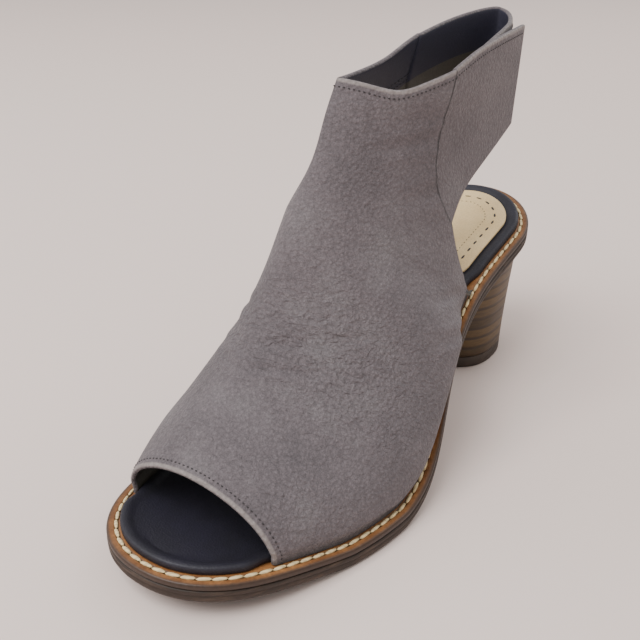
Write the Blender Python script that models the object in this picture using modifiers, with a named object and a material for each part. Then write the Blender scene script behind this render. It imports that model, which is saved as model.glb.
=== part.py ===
"""Left ankle-high heeled sandal with an open toe, an open back and a hook-and-loop ankle strap.

Metres, +X towards the toe, +Y towards the outer (lateral) side, +Z up. The origin is the centre of
the heel tip's flat underside, on the floor. Every piece that a maker would cut or mould is one object.
"""
from collections import namedtuple
from math import pi

import bmesh
import bpy
import numpy as np
from mathutils import Vector

MM = 0.001

# Driving sizes
LENGTH = 236 * MM            # plan length of the sole, heel back to toe
BALL_WIDTH = 92 * MM         # widest part of the sole
SEAT_HEIGHT = 73 * MM        # top of the welt at the very back
THROAT_HEIGHT = 142.6 * MM   # front point of the collar
STRAP_HEIGHT = 153 * MM      # top of the strap at the back of the ankle
HEEL_CENTRE = 28 * MM        # from the heel back to the middle of the heel tip
WALL = 1.8 * MM              # upper leather with its lining
GAP = 0.3 * MM               # clearance between pieces that touch
SEAM_STEP = 0.5 * MM         # how far a strap panel lies under the vamp's edge
OUTSOLE_EDGE = 5.0 * MM      # outsole's edge thickness
WELT_THICK = 2.4 * MM
WELT_WIDTH = 9.5 * MM
WELT_REVEAL = 4.4 * MM       # welt that shows outside the upper
FOOTBED_THICK = 2.8 * MM     # footbed's flange above the welt
FOOTBED_DISH = 1.2 * MM      # how far the footbed's middle lies under its rim
SOCK_THICK = 0.9 * MM
SOCK_MARGIN = 5.4 * MM       # footbed rim that shows outside the heel sock
RIM_WIDTH = 5.0 * MM         # from the footbed's edge to where its dish begins
FOOT_LIFT = 0.2 * MM         # more clearance where the welt's facets stand over its curve
FEATHER_RISE = 1.6 * MM      # the upper stands straight up from the welt this far
EDGE_ROUND = 0.45 * MM       # rounding of the leather's cut edges
SOCK_END = 0.46              # sock's front end, a share of LENGTH
HEEL_TIP_THICK = 5.5 * MM
HEEL_LENGTH = 45 * MM        # heel, front to back, at the tip
HEEL_HALF_WIDTH = 22.8 * MM  # at the tip
HEEL_BACK = 5.5 * MM         # tip's back edge from the sole's back
HEEL_TOP_BACK = 3.8 * MM
HEEL_TOP_HALF_WIDTH = 26.4 * MM
HEEL_TOP_LENGTH = 50 * MM
PAD_THICK = 1.6 * MM         # hook-and-loop pads, pressed together
TAB_LIFT = PAD_THICK + 2 * GAP

STRAP_EASE = 1.5 * MM        # how softly the strap bends inwards under the tab

# How finely the upper is divided
FEATHER_STEPS = 15           # toe edge to rear cut
CUT_STEPS = 5
SEAM_STEPS = 8
TURN_STEPS = 12              # ridge to welt
TAB_STEPS = 9
STRAP_STEPS = 26

# Where the upper stands on the welt, in shares of LENGTH, for the footbed's edge
COVER_START = 0.255
COVER_END = 0.930
COVER_EASE = 0.035
HEEL_SQUARENESS = 2.4        # 2 would be an ellipse
HEEL_STEPS = 9               # points to a quarter of the heel
SHARP = 0.6                  # radians: edges that bend more are drawn sharp

# Half widths of the sole from its centre line, as shares of BALL_WIDTH, at shares of LENGTH
Outline = namedtuple("Outline", "at lateral medial")
SOLE_OUTLINE = (
    Outline(0.00, 0.325, 0.325),
    Outline(0.12, 0.341, 0.339),
    Outline(0.28, 0.335, 0.305),
    Outline(0.45, 0.415, 0.297),
    Outline(0.60, 0.530, 0.450),
    Outline(0.72, 0.514, 0.485),
    Outline(0.85, 0.444, 0.470),
    Outline(1.00, 0.444, 0.500),
)
SOLE_STATIONS = 41           # stations along each side of the outline
HEEL_ROUND = 0.13            # share of LENGTH over which the heel closes
TOE_ROUND = 0.28
TOE_SQUARENESS = 2.3
TOE_FULLNESS = 2.1

# Underside of the outsole: its height over the floor as a share of SEAT_HEIGHT
Profile = namedtuple("Profile", "at rise")
SOLE_PROFILE = (
    Profile(0.00, 0.893),
    Profile(0.15, 0.760),
    Profile(0.30, 0.613),
    Profile(0.45, 0.380),
    Profile(0.60, 0.074),
    Profile(0.68, -0.008),
    Profile(0.76, -0.006),
    Profile(0.86, 0.044),
    Profile(1.00, 0.108),
)

# Sections of the upper. Each lies in a plane that leans from upright at the toe to level at the
# collar, from a point on the ridge of the instep to an end on the welt or behind the ankle.
# x in shares of LENGTH, z of THROAT_HEIGHT, y and swells of BALL_WIDTH. end_z None is on the welt.
# swell: how far the widest place stands outside the end. wide: where, from ridge 0 to end 1.
# nose: 0.5 gives a round ridge, 1 a pointed one. tail: how full the section is behind its widest.
# close: 1 where the section ends on the welt, 0.5 where it closes round the back.
Section = namedtuple(
    "Section", "ridge_x ridge_z ridge_y end_x end_z end_y end_half close "
    "lat_swell lat_wide lat_nose lat_tail med_swell med_wide med_nose med_tail"
)
UPPER_SECTIONS = (
    Section(0.890, 0.240, -0.033, 0.881, None, None, None, 1.00, 0.004, 0.90, 0.50, 2.2, 0.004, 0.90, 0.50, 2.2),
    Section(0.825, 0.294, -0.070, 0.754, None, None, None, 1.00, 0.016, 0.86, 0.60, 2.2, 0.008, 0.88, 0.58, 2.2),
    Section(0.752, 0.355, -0.110, 0.620, None, None, None, 1.00, 0.050, 0.82, 0.66, 2.2, 0.012, 0.85, 0.64, 2.2),
    Section(0.680, 0.460, -0.130, 0.490, None, None, None, 1.00, 0.115, 0.78, 0.62, 2.2, 0.030, 0.80, 0.60, 2.2),
    Section(0.636, 0.595, -0.120, 0.390, None, None, None, 1.00, 0.135, 0.74, 0.57, 2.0, 0.015, 0.75, 0.60, 2.0),
    Section(0.598, 0.720, -0.108, 0.314, None, None, None, 1.00, 0.055, 0.68, 0.53, 1.9, 0.000, 0.75, 0.58, 2.0),
    Section(0.560, 0.830, -0.103, 0.186, 0.590, 0.010, 0.110, 0.75, 0.170, 0.55, 0.52, 1.6, 0.020, 0.75, 0.70, 2.0),
    Section(0.534, 0.925, -0.098, 0.055, 0.825, 0.010, 0.000, 0.50, 0.290, 0.45, 0.55, 1.2, 0.085, 0.78, 0.90, 2.0),
    Section(0.513, 1.000, -0.087, 0.040, 1.078, 0.015, 0.000, 0.50, 0.290, 0.40, 0.58, 1.1, 0.066, 0.80, 1.10, 2.2),
    Section(0.502, 1.050, -0.082, 0.036, 1.165, 0.015, 0.000, 0.50, 0.290, 0.40, 0.60, 1.1, 0.060, 0.80, 1.20, 2.2),
)
FOOT_ROW = 5
THROAT_ROW = 8

# Pattern lines in the side view: x in shares of LENGTH, z in shares of THROAT_HEIGHT.
# A first mark with no z lies on the welt. 1 is the lateral side, -1 the medial one.
Mark = namedtuple("Mark", "x z")
COLLAR = {
    1: (Mark(0.513, 1.000), Mark(0.498, 0.989), Mark(0.470, 0.972), Mark(0.431, 0.981),
        Mark(0.400, 0.993), Mark(0.371, 1.003)),
    -1: (Mark(0.513, 1.000), Mark(0.483, 1.000), Mark(0.435, 1.002), Mark(0.364, 1.015),
         Mark(0.320, 1.035), Mark(0.280, 1.050)),
}
REAR_CUT = {
    1: (Mark(0.307, None), Mark(0.340, 0.450), Mark(0.362, 0.540), Mark(0.370, 0.605)),
    -1: (Mark(0.330, None), Mark(0.340, 0.455), Mark(0.332, 0.550), Mark(0.312, 0.630)),
}
SEAM = {
    1: (Mark(0.370, 0.605), Mark(0.402, 0.720), Mark(0.392, 0.870), Mark(0.371, 1.003)),
    -1: (Mark(0.312, 0.630), Mark(0.306, 0.730), Mark(0.300, 0.870), Mark(0.280, 1.050)),
}
# The tab runs back from the lateral seam on a nearly straight path of its own, to a loose end
TAB_TOP = (Mark(0.371, 1.003), Mark(0.300, 1.030), Mark(0.220, 1.045), Mark(0.092, 1.052))
TAB_FOOT = (Mark(0.370, 0.605), Mark(0.326, 0.660), Mark(0.237, 0.715), Mark(0.106, 0.780))
TAB_END_Y = 18 * MM          # how far outwards the loose end stands
TAB_BOW = 1.2 * MM           # how far its middle bows outwards
# The strap runs from the medial seam round the back (a mark with side 0) to its end inside the tab
Edge = namedtuple("Edge", "side x z")
STRAP_TOP = (
    Edge(-1, 0.280, 1.050), Edge(-1, 0.193, 1.068), Edge(-1, 0.111, 1.078), Edge(0, None, 1.080),
    Edge(1, 0.070, 1.066), Edge(1, 0.200, 1.036), Edge(1, 0.350, 0.990),
)
STRAP_FOOT = (
    Edge(-1, 0.312, 0.630), Edge(-1, 0.271, 0.712), Edge(-1, 0.225, 0.771), Edge(-1, 0.110, 0.803),
    Edge(0, None, 0.822), Edge(1, 0.072, 0.815), Edge(1, 0.210, 0.780), Edge(1, 0.350, 0.755),
)
STRAP_END_ROUND = 9 * MM     # how far the corners of the strap's end fall back
SEAM_RAMP = 0.9 * MM         # length over which a seam steps down
PAD_SPAN = (0.18, 0.80)      # hook pad, as shares of the tab from its seam to its end
PAD_HEIGHT = (0.16, 0.90)    # and from its foot to its top


def spline(xs, ys):
    """Natural cubic spline through the points, as a function of an array."""
    xs = np.asarray(xs, float)
    ys = np.asarray(ys, float)
    n = len(xs)
    h = np.diff(xs)
    a = np.eye(n)
    b = np.zeros(n)
    for i in range(1, n - 1):
        a[i, i - 1:i + 2] = h[i - 1], 2 * (h[i - 1] + h[i]), h[i]
        b[i] = 6 * ((ys[i + 1] - ys[i]) / h[i] - (ys[i] - ys[i - 1]) / h[i - 1])
    m = np.linalg.solve(a, b)

    def value(at):
        at = np.asarray(at, float)
        k = np.clip(np.searchsorted(xs, at) - 1, 0, n - 2)
        u = at - xs[k]
        v = xs[k + 1] - at
        curve = (m[k] * v**3 + m[k + 1] * u**3) / (6 * h[k])
        return curve + (ys[k] / h[k] - m[k] * h[k] / 6) * v + (ys[k + 1] / h[k] - m[k + 1] * h[k] / 6) * u

    return value


def column(rows, name):
    return [getattr(row, name) for row in rows]


lateral_half = spline(column(SOLE_OUTLINE, "at"), column(SOLE_OUTLINE, "lateral"))
medial_half = spline(column(SOLE_OUTLINE, "at"), column(SOLE_OUTLINE, "medial"))
underside = spline(column(SOLE_PROFILE, "at"), column(SOLE_PROFILE, "rise"))


def sole_bottom(x):
    """Height of the outsole's underside, flat on the floor under the ball."""
    return np.maximum(underside(np.asarray(x) / LENGTH) * SEAT_HEIGHT, 0.0)


def welt_top(x):
    return sole_bottom(x) + OUTSOLE_EDGE + GAP + WELT_THICK


def sole_loop(inset, stations=SOLE_STATIONS):
    """The sole's outline moved inwards: heel point, lateral side, toe point, medial side back.

    inset is one value, or a function of x.
    """
    share = (1 - np.cos(np.linspace(0, pi, stations))) / 2
    closing = np.ones(stations)
    heel = share < HEEL_ROUND
    closing[heel] = np.sqrt(1 - (1 - share[heel] / HEEL_ROUND)**2)
    toe = share > 1 - TOE_ROUND
    reach = (share[toe] - 1 + TOE_ROUND) / TOE_ROUND
    closing[toe] = np.clip(1 - reach**TOE_SQUARENESS, 0, 1)**(1 / TOE_FULLNESS)
    middle = (lateral_half(share) - medial_half(share)) * BALL_WIDTH / 2
    half = (lateral_half(share) + medial_half(share)) * BALL_WIDTH / 2 * closing
    x = share * LENGTH
    loop = np.concatenate([np.stack([x, middle + half], 1), np.stack([x, middle - half], 1)[-2:0:-1]])
    along = np.roll(loop, -1, 0) - np.roll(loop, 1, 0)
    along /= np.linalg.norm(along, axis=1)[:, None]
    inwards = np.stack([along[:, 1], -along[:, 0]], 1)
    depth = inset(loop[:, 0]) if callable(inset) else np.full(len(loop), inset)
    return loop + depth[:, None] * inwards


def edge_lines(inset):
    """Lateral and medial y of the moved outline, each as a function of x."""
    fine = 161
    loop = sole_loop(inset, fine)
    lateral = loop[:fine]
    medial = np.concatenate([loop[fine - 1:], loop[:1]])[::-1]
    return (lambda at: np.interp(at, lateral[:, 0], lateral[:, 1]),
            lambda at: np.interp(at, medial[:, 0], medial[:, 1]))


class Form:
    """The upper's outer surface, a point for each section row, turn (ridge 0, end pi) and side."""

    def __init__(self):
        rows = np.arange(len(UPPER_SECTIONS))
        self.lateral, self.medial = edge_lines(WELT_REVEAL)
        end = []
        for section in UPPER_SECTIONS:
            x = section.end_x * LENGTH
            if section.end_z is None:
                end.append((x, *self.on_welt(x)))
            else:
                end.append((x, section.end_y * BALL_WIDTH, section.end_z * THROAT_HEIGHT,
                            section.end_half * BALL_WIDTH))
        end = np.array(end)
        ridge = np.stack([
            np.array(column(UPPER_SECTIONS, "ridge_x")) * LENGTH,
            np.array(column(UPPER_SECTIONS, "ridge_y")) * BALL_WIDTH,
            np.array(column(UPPER_SECTIONS, "ridge_z")) * THROAT_HEIGHT,
        ], 1)
        self.ridge_lines = [spline(rows, ridge[:, i]) for i in range(3)]
        self.end_lines = [spline(rows, end[:, i]) for i in range(3)]
        self.half_line = spline(rows, end[:, 3])
        self.close = spline(rows, column(UPPER_SECTIONS, "close"))
        self.shape = {
            side: [spline(rows, column(UPPER_SECTIONS, name + key)) for key in ("swell", "wide", "nose", "tail")]
            for side, name in ((1, "lat_"), (-1, "med_"))
        }

    def ridge(self, row):
        return np.stack([line(row) for line in self.ridge_lines], -1)

    def on_welt(self, x):
        """Middle, height and half width of the upper's foot on the welt at x."""
        outer, inner = self.lateral(x), self.medial(x)
        return (outer + inner) / 2, welt_top(x) + GAP + FOOT_LIFT, (outer - inner) / 2

    def end(self, row):
        at = np.stack([line(row) for line in self.end_lines], -1)
        middle, height, _ = self.on_welt(at[..., 0])
        welted = np.asarray(row) <= FOOT_ROW
        at[..., 1] = np.where(welted, middle, at[..., 1])
        at[..., 2] = np.where(welted, height, at[..., 2])
        return at

    def end_half(self, row):
        half = self.on_welt(self.end_lines[0](row))[2]
        return np.where(np.asarray(row) <= FOOT_ROW, half, np.maximum(self.half_line(row), 0))

    def point(self, row, turn, side):
        """Points for arrays of row and turn on one side (1 lateral, -1 medial)."""
        row, turn = np.broadcast_arrays(np.asarray(row, float), np.asarray(turn, float))
        t = (1 - np.cos(turn)) / 2
        half = self.end_half(row)
        swell, wide_at, nose, tail = (line(row) for line in self.shape[side])
        widest = half + swell * BALL_WIDTH
        front = np.clip(t / wide_at, 0, 1)
        back = np.clip((t - wide_at) / (1 - wide_at), 0, 1)
        growing = widest * (1 - (1 - front)**2)**nose
        closing = half + (widest - half) * (1 - back**tail)**np.clip(self.close(row), 0.5, 1)
        ridge = self.ridge(row)
        at = ridge + (self.end(row) - ridge) * t[..., None]
        at[..., 1] += side * np.where(t < wide_at, growing, closing)
        return at

    def normal(self, row, turn, side):
        """Outward unit normals."""
        step = 1e-3
        row, turn = np.broadcast_arrays(np.asarray(row, float), np.asarray(turn, float))
        turn = np.clip(turn, 2 * step, pi - 2 * step)
        up = self.point(row + step, turn, side) - self.point(row - step, turn, side)
        back = self.point(row, turn + step, side) - self.point(row, turn - step, side)
        out = side * np.cross(up, back)
        return out / np.linalg.norm(out, axis=-1)[..., None]

    def row_at_height(self, turn, z):
        """The row whose point at this turn has this height."""
        low = np.full(np.shape(z), 4.0)
        high = np.full(np.shape(z), len(UPPER_SECTIONS) - 1.0)
        t = (1 - np.cos(turn)) / 2
        for _ in range(30):
            row = (low + high) / 2
            height = self.ridge_lines[2](row) * (1 - t) + self.end_lines[2](row) * t
            low = np.where(height < z, row, low)
            high = np.where(height < z, high, row)
        return (low + high) / 2

    def locate(self, x, z):
        """Row and turn of the points at x, z in the side view."""
        low = np.zeros(np.shape(x))
        high = np.full(np.shape(x), len(UPPER_SECTIONS) - 1.0)
        for _ in range(30):
            row = (low + high) / 2
            ridge, end = self.ridge(row), self.end(row)
            above = ((z - ridge[..., 2]) * (ridge[..., 0] - end[..., 0])
                     - (x - ridge[..., 0]) * (ridge[..., 2] - end[..., 2])) > 0
            low = np.where(above, row, low)
            high = np.where(above, high, row)
        row = (low + high) / 2
        ridge, end = self.ridge(row), self.end(row)
        t = np.clip((x - ridge[..., 0]) / (end[..., 0] - ridge[..., 0]), 0, 1)
        return row, np.arccos(1 - 2 * t)


def marks_line(marks, count):
    """x and z, in metres, at even steps along a smooth line through the marks."""
    x = np.array(column(marks, "x")) * LENGTH
    z = np.array([welt_top(a) + GAP if mark.z is None else mark.z * THROAT_HEIGHT for mark, a in zip(marks, x)])
    way = np.concatenate([[0], np.cumsum(np.hypot(np.diff(x), np.diff(z)))])
    at = np.linspace(0, way[-1], count)
    return spline(way, x)(at), spline(way, z)(at)


def coons(low, high, left, right):
    """A grid between four edges, each an array of points: low and high along j, left and right along i."""
    i = np.linspace(0, 1, len(left))[:, None, None]
    j = np.linspace(0, 1, len(low))[None, :, None]
    ruled_i = low[None] * (1 - i) + high[None] * i
    ruled_j = left[:, None] * (1 - j) + right[:, None] * j
    corners = (low[0] * (1 - i) * (1 - j) + low[-1] * (1 - i) * j
               + high[0] * i * (1 - j) + high[-1] * i * j)
    return ruled_i + ruled_j - corners


def body_side(form, side):
    """The vamp and quarter of one side: rows from the toe edge up to the collar, turns from the ridge down."""
    cut = np.stack(form.locate(*marks_line(REAR_CUT[side], CUT_STEPS + 1)), -1)
    seam = np.stack(form.locate(*marks_line(SEAM[side], SEAM_STEPS + 1)), -1)
    collar = np.stack(form.locate(*marks_line(COLLAR[side], TURN_STEPS + 1)), -1)
    cut[0, 1] = pi
    feather = np.stack([np.linspace(0, cut[0, 0], FEATHER_STEPS + 1), np.full(FEATHER_STEPS + 1, pi)], -1)
    outer = np.concatenate([feather, cut[1:], seam[1:]])
    rise = np.linspace(0, 1, FEATHER_STEPS + 1) * FOOT_ROW
    over = np.linspace(FOOT_ROW, THROAT_ROW, CUT_STEPS + SEAM_STEPS + 1)
    ridge = np.concatenate([rise, over[1:]])
    ridge = np.stack([ridge, np.zeros(len(ridge))], -1)
    toe = np.stack([np.zeros(TURN_STEPS + 1), np.linspace(0, pi, TURN_STEPS + 1)], -1)
    net = coons(toe, collar, ridge, outer)
    at = form.point(net[..., 0], net[..., 1], side)
    standing = slice(0, FEATHER_STEPS + 1)
    at[standing, -2] = at[standing, -1] + (0, 0, FEATHER_RISE)
    return at


class Tab:
    """Outer surface of the tab, by its place in the side view."""

    def __init__(self, form):
        x, z = marks_line(SEAM[1], 40)
        front = form.point(*form.locate(x, z), 1)
        self.seam_z = front[:, 2]
        self.seam_x = front[:, 0]
        self.seam_y = front[:, 1]

    def y(self, x, z):
        """How far outwards the tab's outer face stands."""
        start = np.interp(z, self.seam_z, self.seam_x)
        side = np.interp(z, self.seam_z, self.seam_y)
        end = TAB_TOP[-1].x * LENGTH
        u = np.clip((start - x) / (start - end), 0, 1.1)
        step = SEAM_STEP * np.clip((start - x) / SEAM_RAMP, 0, 1)
        return side * (1 - u) + TAB_END_Y * u + 4 * TAB_BOW * u * (1 - u) - step

    def place(self, along, height):
        """Points for shares of the way from seam to end and from foot to top."""
        seam = marks_line(SEAM[1], SEAM_STEPS + 1)
        foot = marks_line(TAB_FOOT, 21)
        top = marks_line(TAB_TOP, 21)
        share = np.linspace(0, 1, 21)
        ways = np.linspace(0, 1, SEAM_STEPS + 1)
        ends = []
        for k in (0, 1):
            low = np.interp(along, share, foot[k])
            high = np.interp(along, share, top[k])
            first = np.interp(height, ways, seam[k])
            last = foot[k][-1] * (1 - height) + top[k][-1] * height
            corners = ((foot[k][0] * (1 - height) + top[k][0] * height) * (1 - along) + last * along)
            ends.append(low * (1 - height) + high * height + first * (1 - along) + last * along - corners)
        return np.stack([ends[0], self.y(ends[0], ends[1]), ends[1]], -1)


def strap_line(form, edges, count):
    """Way round the ankle (medial below 1, back 1, lateral above) and height of a strap edge."""
    ways = []
    for edge in edges:
        if edge.side:
            turn = form.locate(np.array([edge.x * LENGTH]), np.array([edge.z * THROAT_HEIGHT]))[1][0]
            ways.append(turn / pi if edge.side < 0 else 2 - turn / pi)
        else:
            ways.append(1.0)
    heights = np.array(column(edges, "z")) * THROAT_HEIGHT
    run = np.hypot(np.diff(ways) * LENGTH / 2, np.diff(heights))
    run = np.concatenate([[0], np.cumsum(run)])
    at = np.linspace(0, run[-1], count)
    return np.stack([spline(run, ways)(at), spline(run, heights)(at)], -1)


def strap_net(form, tab):
    """The strap from the medial seam, round the back, to its round end inside the tab."""
    seam = marks_line(SEAM[-1], SEAM_STEPS + 1)
    turns = form.locate(*seam)[1]
    front = np.stack([turns / pi, seam[1]], -1)
    foot = strap_line(form, STRAP_FOOT, STRAP_STEPS + 1)
    top = strap_line(form, STRAP_TOP, STRAP_STEPS + 1)
    height = np.linspace(0, 1, SEAM_STEPS + 1)[:, None]
    end = foot[-1] * (1 - height) + top[-1] * height
    net = coons(front, end, foot, top)
    way, z = net[..., 0], net[..., 1]
    side = np.where(way > 1, 1, -1)
    turn = np.where(way > 1, 2 - way, way) * pi
    row = form.row_at_height(turn, z)
    at = np.where(side[..., None] > 0, form.point(row, turn, 1), form.point(row, turn, -1))
    corner = np.abs(2 * height[:, 0] - 1)**3 * STRAP_END_ROUND
    late = np.clip((way - 1.2) / (way[-1:] - 1.2), 0, 1)**2
    at[..., 0] -= late * corner
    inside = tab.y(at[..., 0], at[..., 2]) - WALL - TAB_LIFT
    apart = at[..., 1] - inside
    tucked = (at[..., 1] + inside - np.sqrt(apart**2 + STRAP_EASE**2)) / 2
    at[..., 1] = np.where(way > 1, tucked, at[..., 1] + SEAM_STEP * np.clip((0.95 - way) / 0.2, 0, 1))
    at[0] = form.point(*form.locate(*seam), -1)
    part = SEAM_RAMP / np.linalg.norm(at[1] - at[0], axis=1)[:, None]
    ramp = at[0] + (at[1] - at[0]) * part
    ramp[:, 1] += SEAM_STEP * (1 - part[:, 0])
    return np.concatenate([at[:1], ramp[None], at[1:]])


def tab_net(form, tab):
    ramp = SEAM_RAMP / ((TAB_TOP[0].x - TAB_TOP[-1].x) * LENGTH)
    along = np.concatenate([[0, ramp], np.linspace(0, 1, TAB_STEPS + 1)[1:]])[:, None]
    height = np.linspace(0, 1, SEAM_STEPS + 1)[None]
    at = tab.place(*np.broadcast_arrays(along, height))
    at[0] = form.point(*form.locate(*marks_line(SEAM[1], SEAM_STEPS + 1)), 1)
    return at


def flange_inset(x):
    """The footbed's edge: closer to the welt's edge where no upper stands outside it."""
    share = np.asarray(x) / LENGTH
    cover = np.clip((share - COVER_START) / COVER_EASE, 0, 1) * np.clip((COVER_END - share) / COVER_EASE, 0, 1)
    ease = cover * cover * (3 - 2 * cover)
    return WELT_REVEAL + GAP + (WALL + GAP) * ease


def sole_level(inset, lift, stations=SOLE_STATIONS):
    """A loop of the sole's outline, lift above the outsole's underside."""
    loop = sole_loop(inset, stations)
    return np.column_stack([loop, sole_bottom(loop[:, 0]) + lift])


def heel_level(back, length, half_width, height):
    """A rounded-square loop of the heel; height is a function of x."""
    turn = np.linspace(0, 2 * pi, 4 * HEEL_STEPS, endpoint=False)
    bend = 2 / HEEL_SQUARENESS
    x = back + length / 2 * (1 - np.sign(np.cos(turn)) * np.abs(np.cos(turn))**bend)
    y = half_width * np.sign(np.sin(turn)) * np.abs(np.sin(turn))**bend
    return np.column_stack([x, y, height(x)])


# Blender objects
for old in list(bpy.data.objects):
    bpy.data.objects.remove(old, do_unlink=True)
model = bpy.data.collections.new("heeled_ankle_strap_sandal")
bpy.context.scene.collection.children.link(model)


def material(name, colour, roughness, metallic=0.0):
    """A plain finish; colour is linear."""
    made = bpy.data.materials.new(name)
    made.use_nodes = True
    shader = made.node_tree.nodes["Principled BSDF"]
    shader.inputs["Base Color"].default_value = (*colour, 1)
    shader.inputs["Roughness"].default_value = roughness
    shader.inputs["Metallic"].default_value = metallic
    made.diffuse_color = (*colour, 1)
    return made


def new_object(name, points, faces, finish):
    """Points are measured from the sole's heel end, and moved so that the heel tip's middle is the origin."""
    mesh = bpy.data.meshes.new(name)
    mesh.from_pydata([(x - HEEL_CENTRE, y, z) for x, y, z in points], [], faces)
    mesh.materials.append(finish)
    piece = bpy.data.objects.new(name, mesh)
    model.objects.link(piece)
    return piece


def tidy(piece, core=None):
    """Welds equal points and turns the faces outwards, from the point core on an open sheet."""
    work = bmesh.new()
    work.from_mesh(piece.data)
    bmesh.ops.remove_doubles(work, verts=work.verts, dist=1e-6)
    bmesh.ops.recalc_face_normals(work, faces=work.faces)
    if core and sum(face.normal.dot(face.calc_center_median() - core) for face in work.faces) < 0:
        bmesh.ops.reverse_faces(work, faces=work.faces)
    for face in work.faces:
        face.smooth = True
    for edge in work.edges:
        if len(edge.link_faces) == 2 and edge.calc_face_angle(0) > SHARP:
            edge.smooth = False
    work.to_mesh(piece.data)
    work.free()


def sheet(name, nets, finish, core):
    """One open surface through grids of points that meet at their edges."""
    points, faces = [], []
    for net in nets:
        rows, cols = net.shape[:2]
        first = len(points)
        points += [tuple(p) for p in net.reshape(-1, 3)]
        faces += [
            (first + i * cols + j, first + i * cols + j + 1, first + (i + 1) * cols + j + 1, first + (i + 1) * cols + j)
            for i in range(rows - 1) for j in range(cols - 1)
        ]
    piece = new_object(name, points, faces, finish)
    tidy(piece, core)
    return piece


def thicken(piece, thickness, soften):
    """Gives a sheet its wall, inwards, and rounds its cut edges."""
    wall = piece.modifiers.new("Wall", "SOLIDIFY")
    wall.thickness = thickness
    wall.offset = -1
    wall.use_even_offset = False
    wall.use_quality_normals = True
    edge = piece.modifiers.new("Soft edge", "BEVEL")
    edge.limit_method = "ANGLE"
    edge.angle_limit = 0.95
    edge.width = soften
    edge.segments = 2


def slab(name, loops, finish, ring=False):
    """A solid lofted through closed loops of one count, capped at both ends unless it is a ring."""
    count = len(loops[0])
    points = [tuple(p) for loop in loops for p in loop]
    faces = []
    for level in range(len(loops) if ring else len(loops) - 1):
        low = level * count
        high = (level + 1) % len(loops) * count
        faces += [(low + k, low + (k + 1) % count, high + (k + 1) % count, high + k) for k in range(count)]
    if not ring:
        for base in (0, (len(loops) - 1) * count):
            for k in range(count // 2):
                quad = (base + k, base + k + 1, base + count - k - 1, base + (count - k) % count)
                faces.append(tuple(dict.fromkeys(quad)))
    piece = new_object(name, points, faces, finish)
    tidy(piece)
    return piece


def build_upper(form, tab):
    nets = [body_side(form, 1), body_side(form, -1), tab_net(form, tab), strap_net(form, tab)]
    core = Vector((0.4 * LENGTH - HEEL_CENTRE, 0, 0.4 * THROAT_HEIGHT))
    piece = sheet("upper", nets, material("grey_nubuck", (0.205, 0.180, 0.176), 0.85), core)
    thicken(piece, WALL, EDGE_ROUND)


def build_hook_pad(tab):
    along = np.linspace(*PAD_SPAN, 9)[:, None]
    height = np.linspace(*PAD_HEIGHT, 6)[None]
    net = tab.place(*np.broadcast_arrays(along, height))
    net[..., 1] -= WALL + GAP
    core = Vector((0, -LENGTH, THROAT_HEIGHT))
    piece = sheet("hook_and_loop_pad", [net], material("black_hook_pad", (0.012, 0.011, 0.012), 0.95), core)
    thicken(piece, PAD_THICK, EDGE_ROUND)


def build_sole():
    top = OUTSOLE_EDGE
    loops = [sole_level(inset * MM, lift * MM) for inset, lift in ((2.2, 0), (0.8, 0.4), (0.1, 1.6))]
    loops.append(sole_level(0, top))
    slab("outsole", loops, material("brown_outsole", (0.115, 0.078, 0.056), 0.6))
    seat = top + GAP
    ring = (
        (0.5 * MM, 0), (0.2 * MM, 0.5 * MM), (0.2 * MM, WELT_THICK - 0.6 * MM), (0.7 * MM, WELT_THICK),
        (WELT_WIDTH, WELT_THICK), (WELT_WIDTH, 0),
    )
    loops = [sole_level(inset, seat + lift) for inset, lift in ring]
    slab("welt", loops, material("tan_welt", (0.230, 0.110, 0.050), 0.55), ring=True)


def build_footbed():
    under = OUTSOLE_EDGE + GAP
    flange = under + WELT_THICK + GAP
    top = flange + FOOTBED_THICK
    core = WELT_WIDTH + GAP
    loops = [sole_level(core, under), sole_level(core, flange)]
    rim = (
        (0.2 * MM, flange), (0, flange + 0.5 * MM), (0, top - 0.7 * MM), (0.7 * MM, top), (2.2 * MM, top),
        (RIM_WIDTH, top - FOOTBED_DISH),
    )
    for inset, lift in rim:
        loops.append(sole_level(lambda x: flange_inset(x) + inset, lift))
    slab("footbed", loops, material("navy_footbed", (0.030, 0.030, 0.048), 0.5))
    bed = top - FOOTBED_DISH + GAP
    limit = SOCK_END * LENGTH
    loops = []
    for inset, lift in ((0, bed), (0, bed + SOCK_THICK - 0.3 * MM), (0.4 * MM, bed + SOCK_THICK)):
        loop = sole_level(lambda x: flange_inset(x) + SOCK_MARGIN + inset, lift)
        lateral = loop[:SOLE_STATIONS]
        medial = np.concatenate([loop[SOLE_STATIONS - 1:], loop[:1]])[::-1]
        kept = int((lateral[:, 0] < limit - 2 * MM).sum())
        ends = [
            np.array([limit - inset, np.interp(limit, line[:, 0], line[:, 1]), sole_bottom(limit) + lift])
            for line in (lateral, medial)
        ]
        loops.append(np.concatenate([lateral[:kept], [ends[0]], [ends[1]], medial[1:kept][::-1]]))
    slab("heel_sock", loops, material("tan_heel_sock", (0.410, 0.320, 0.210), 0.6))


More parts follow.
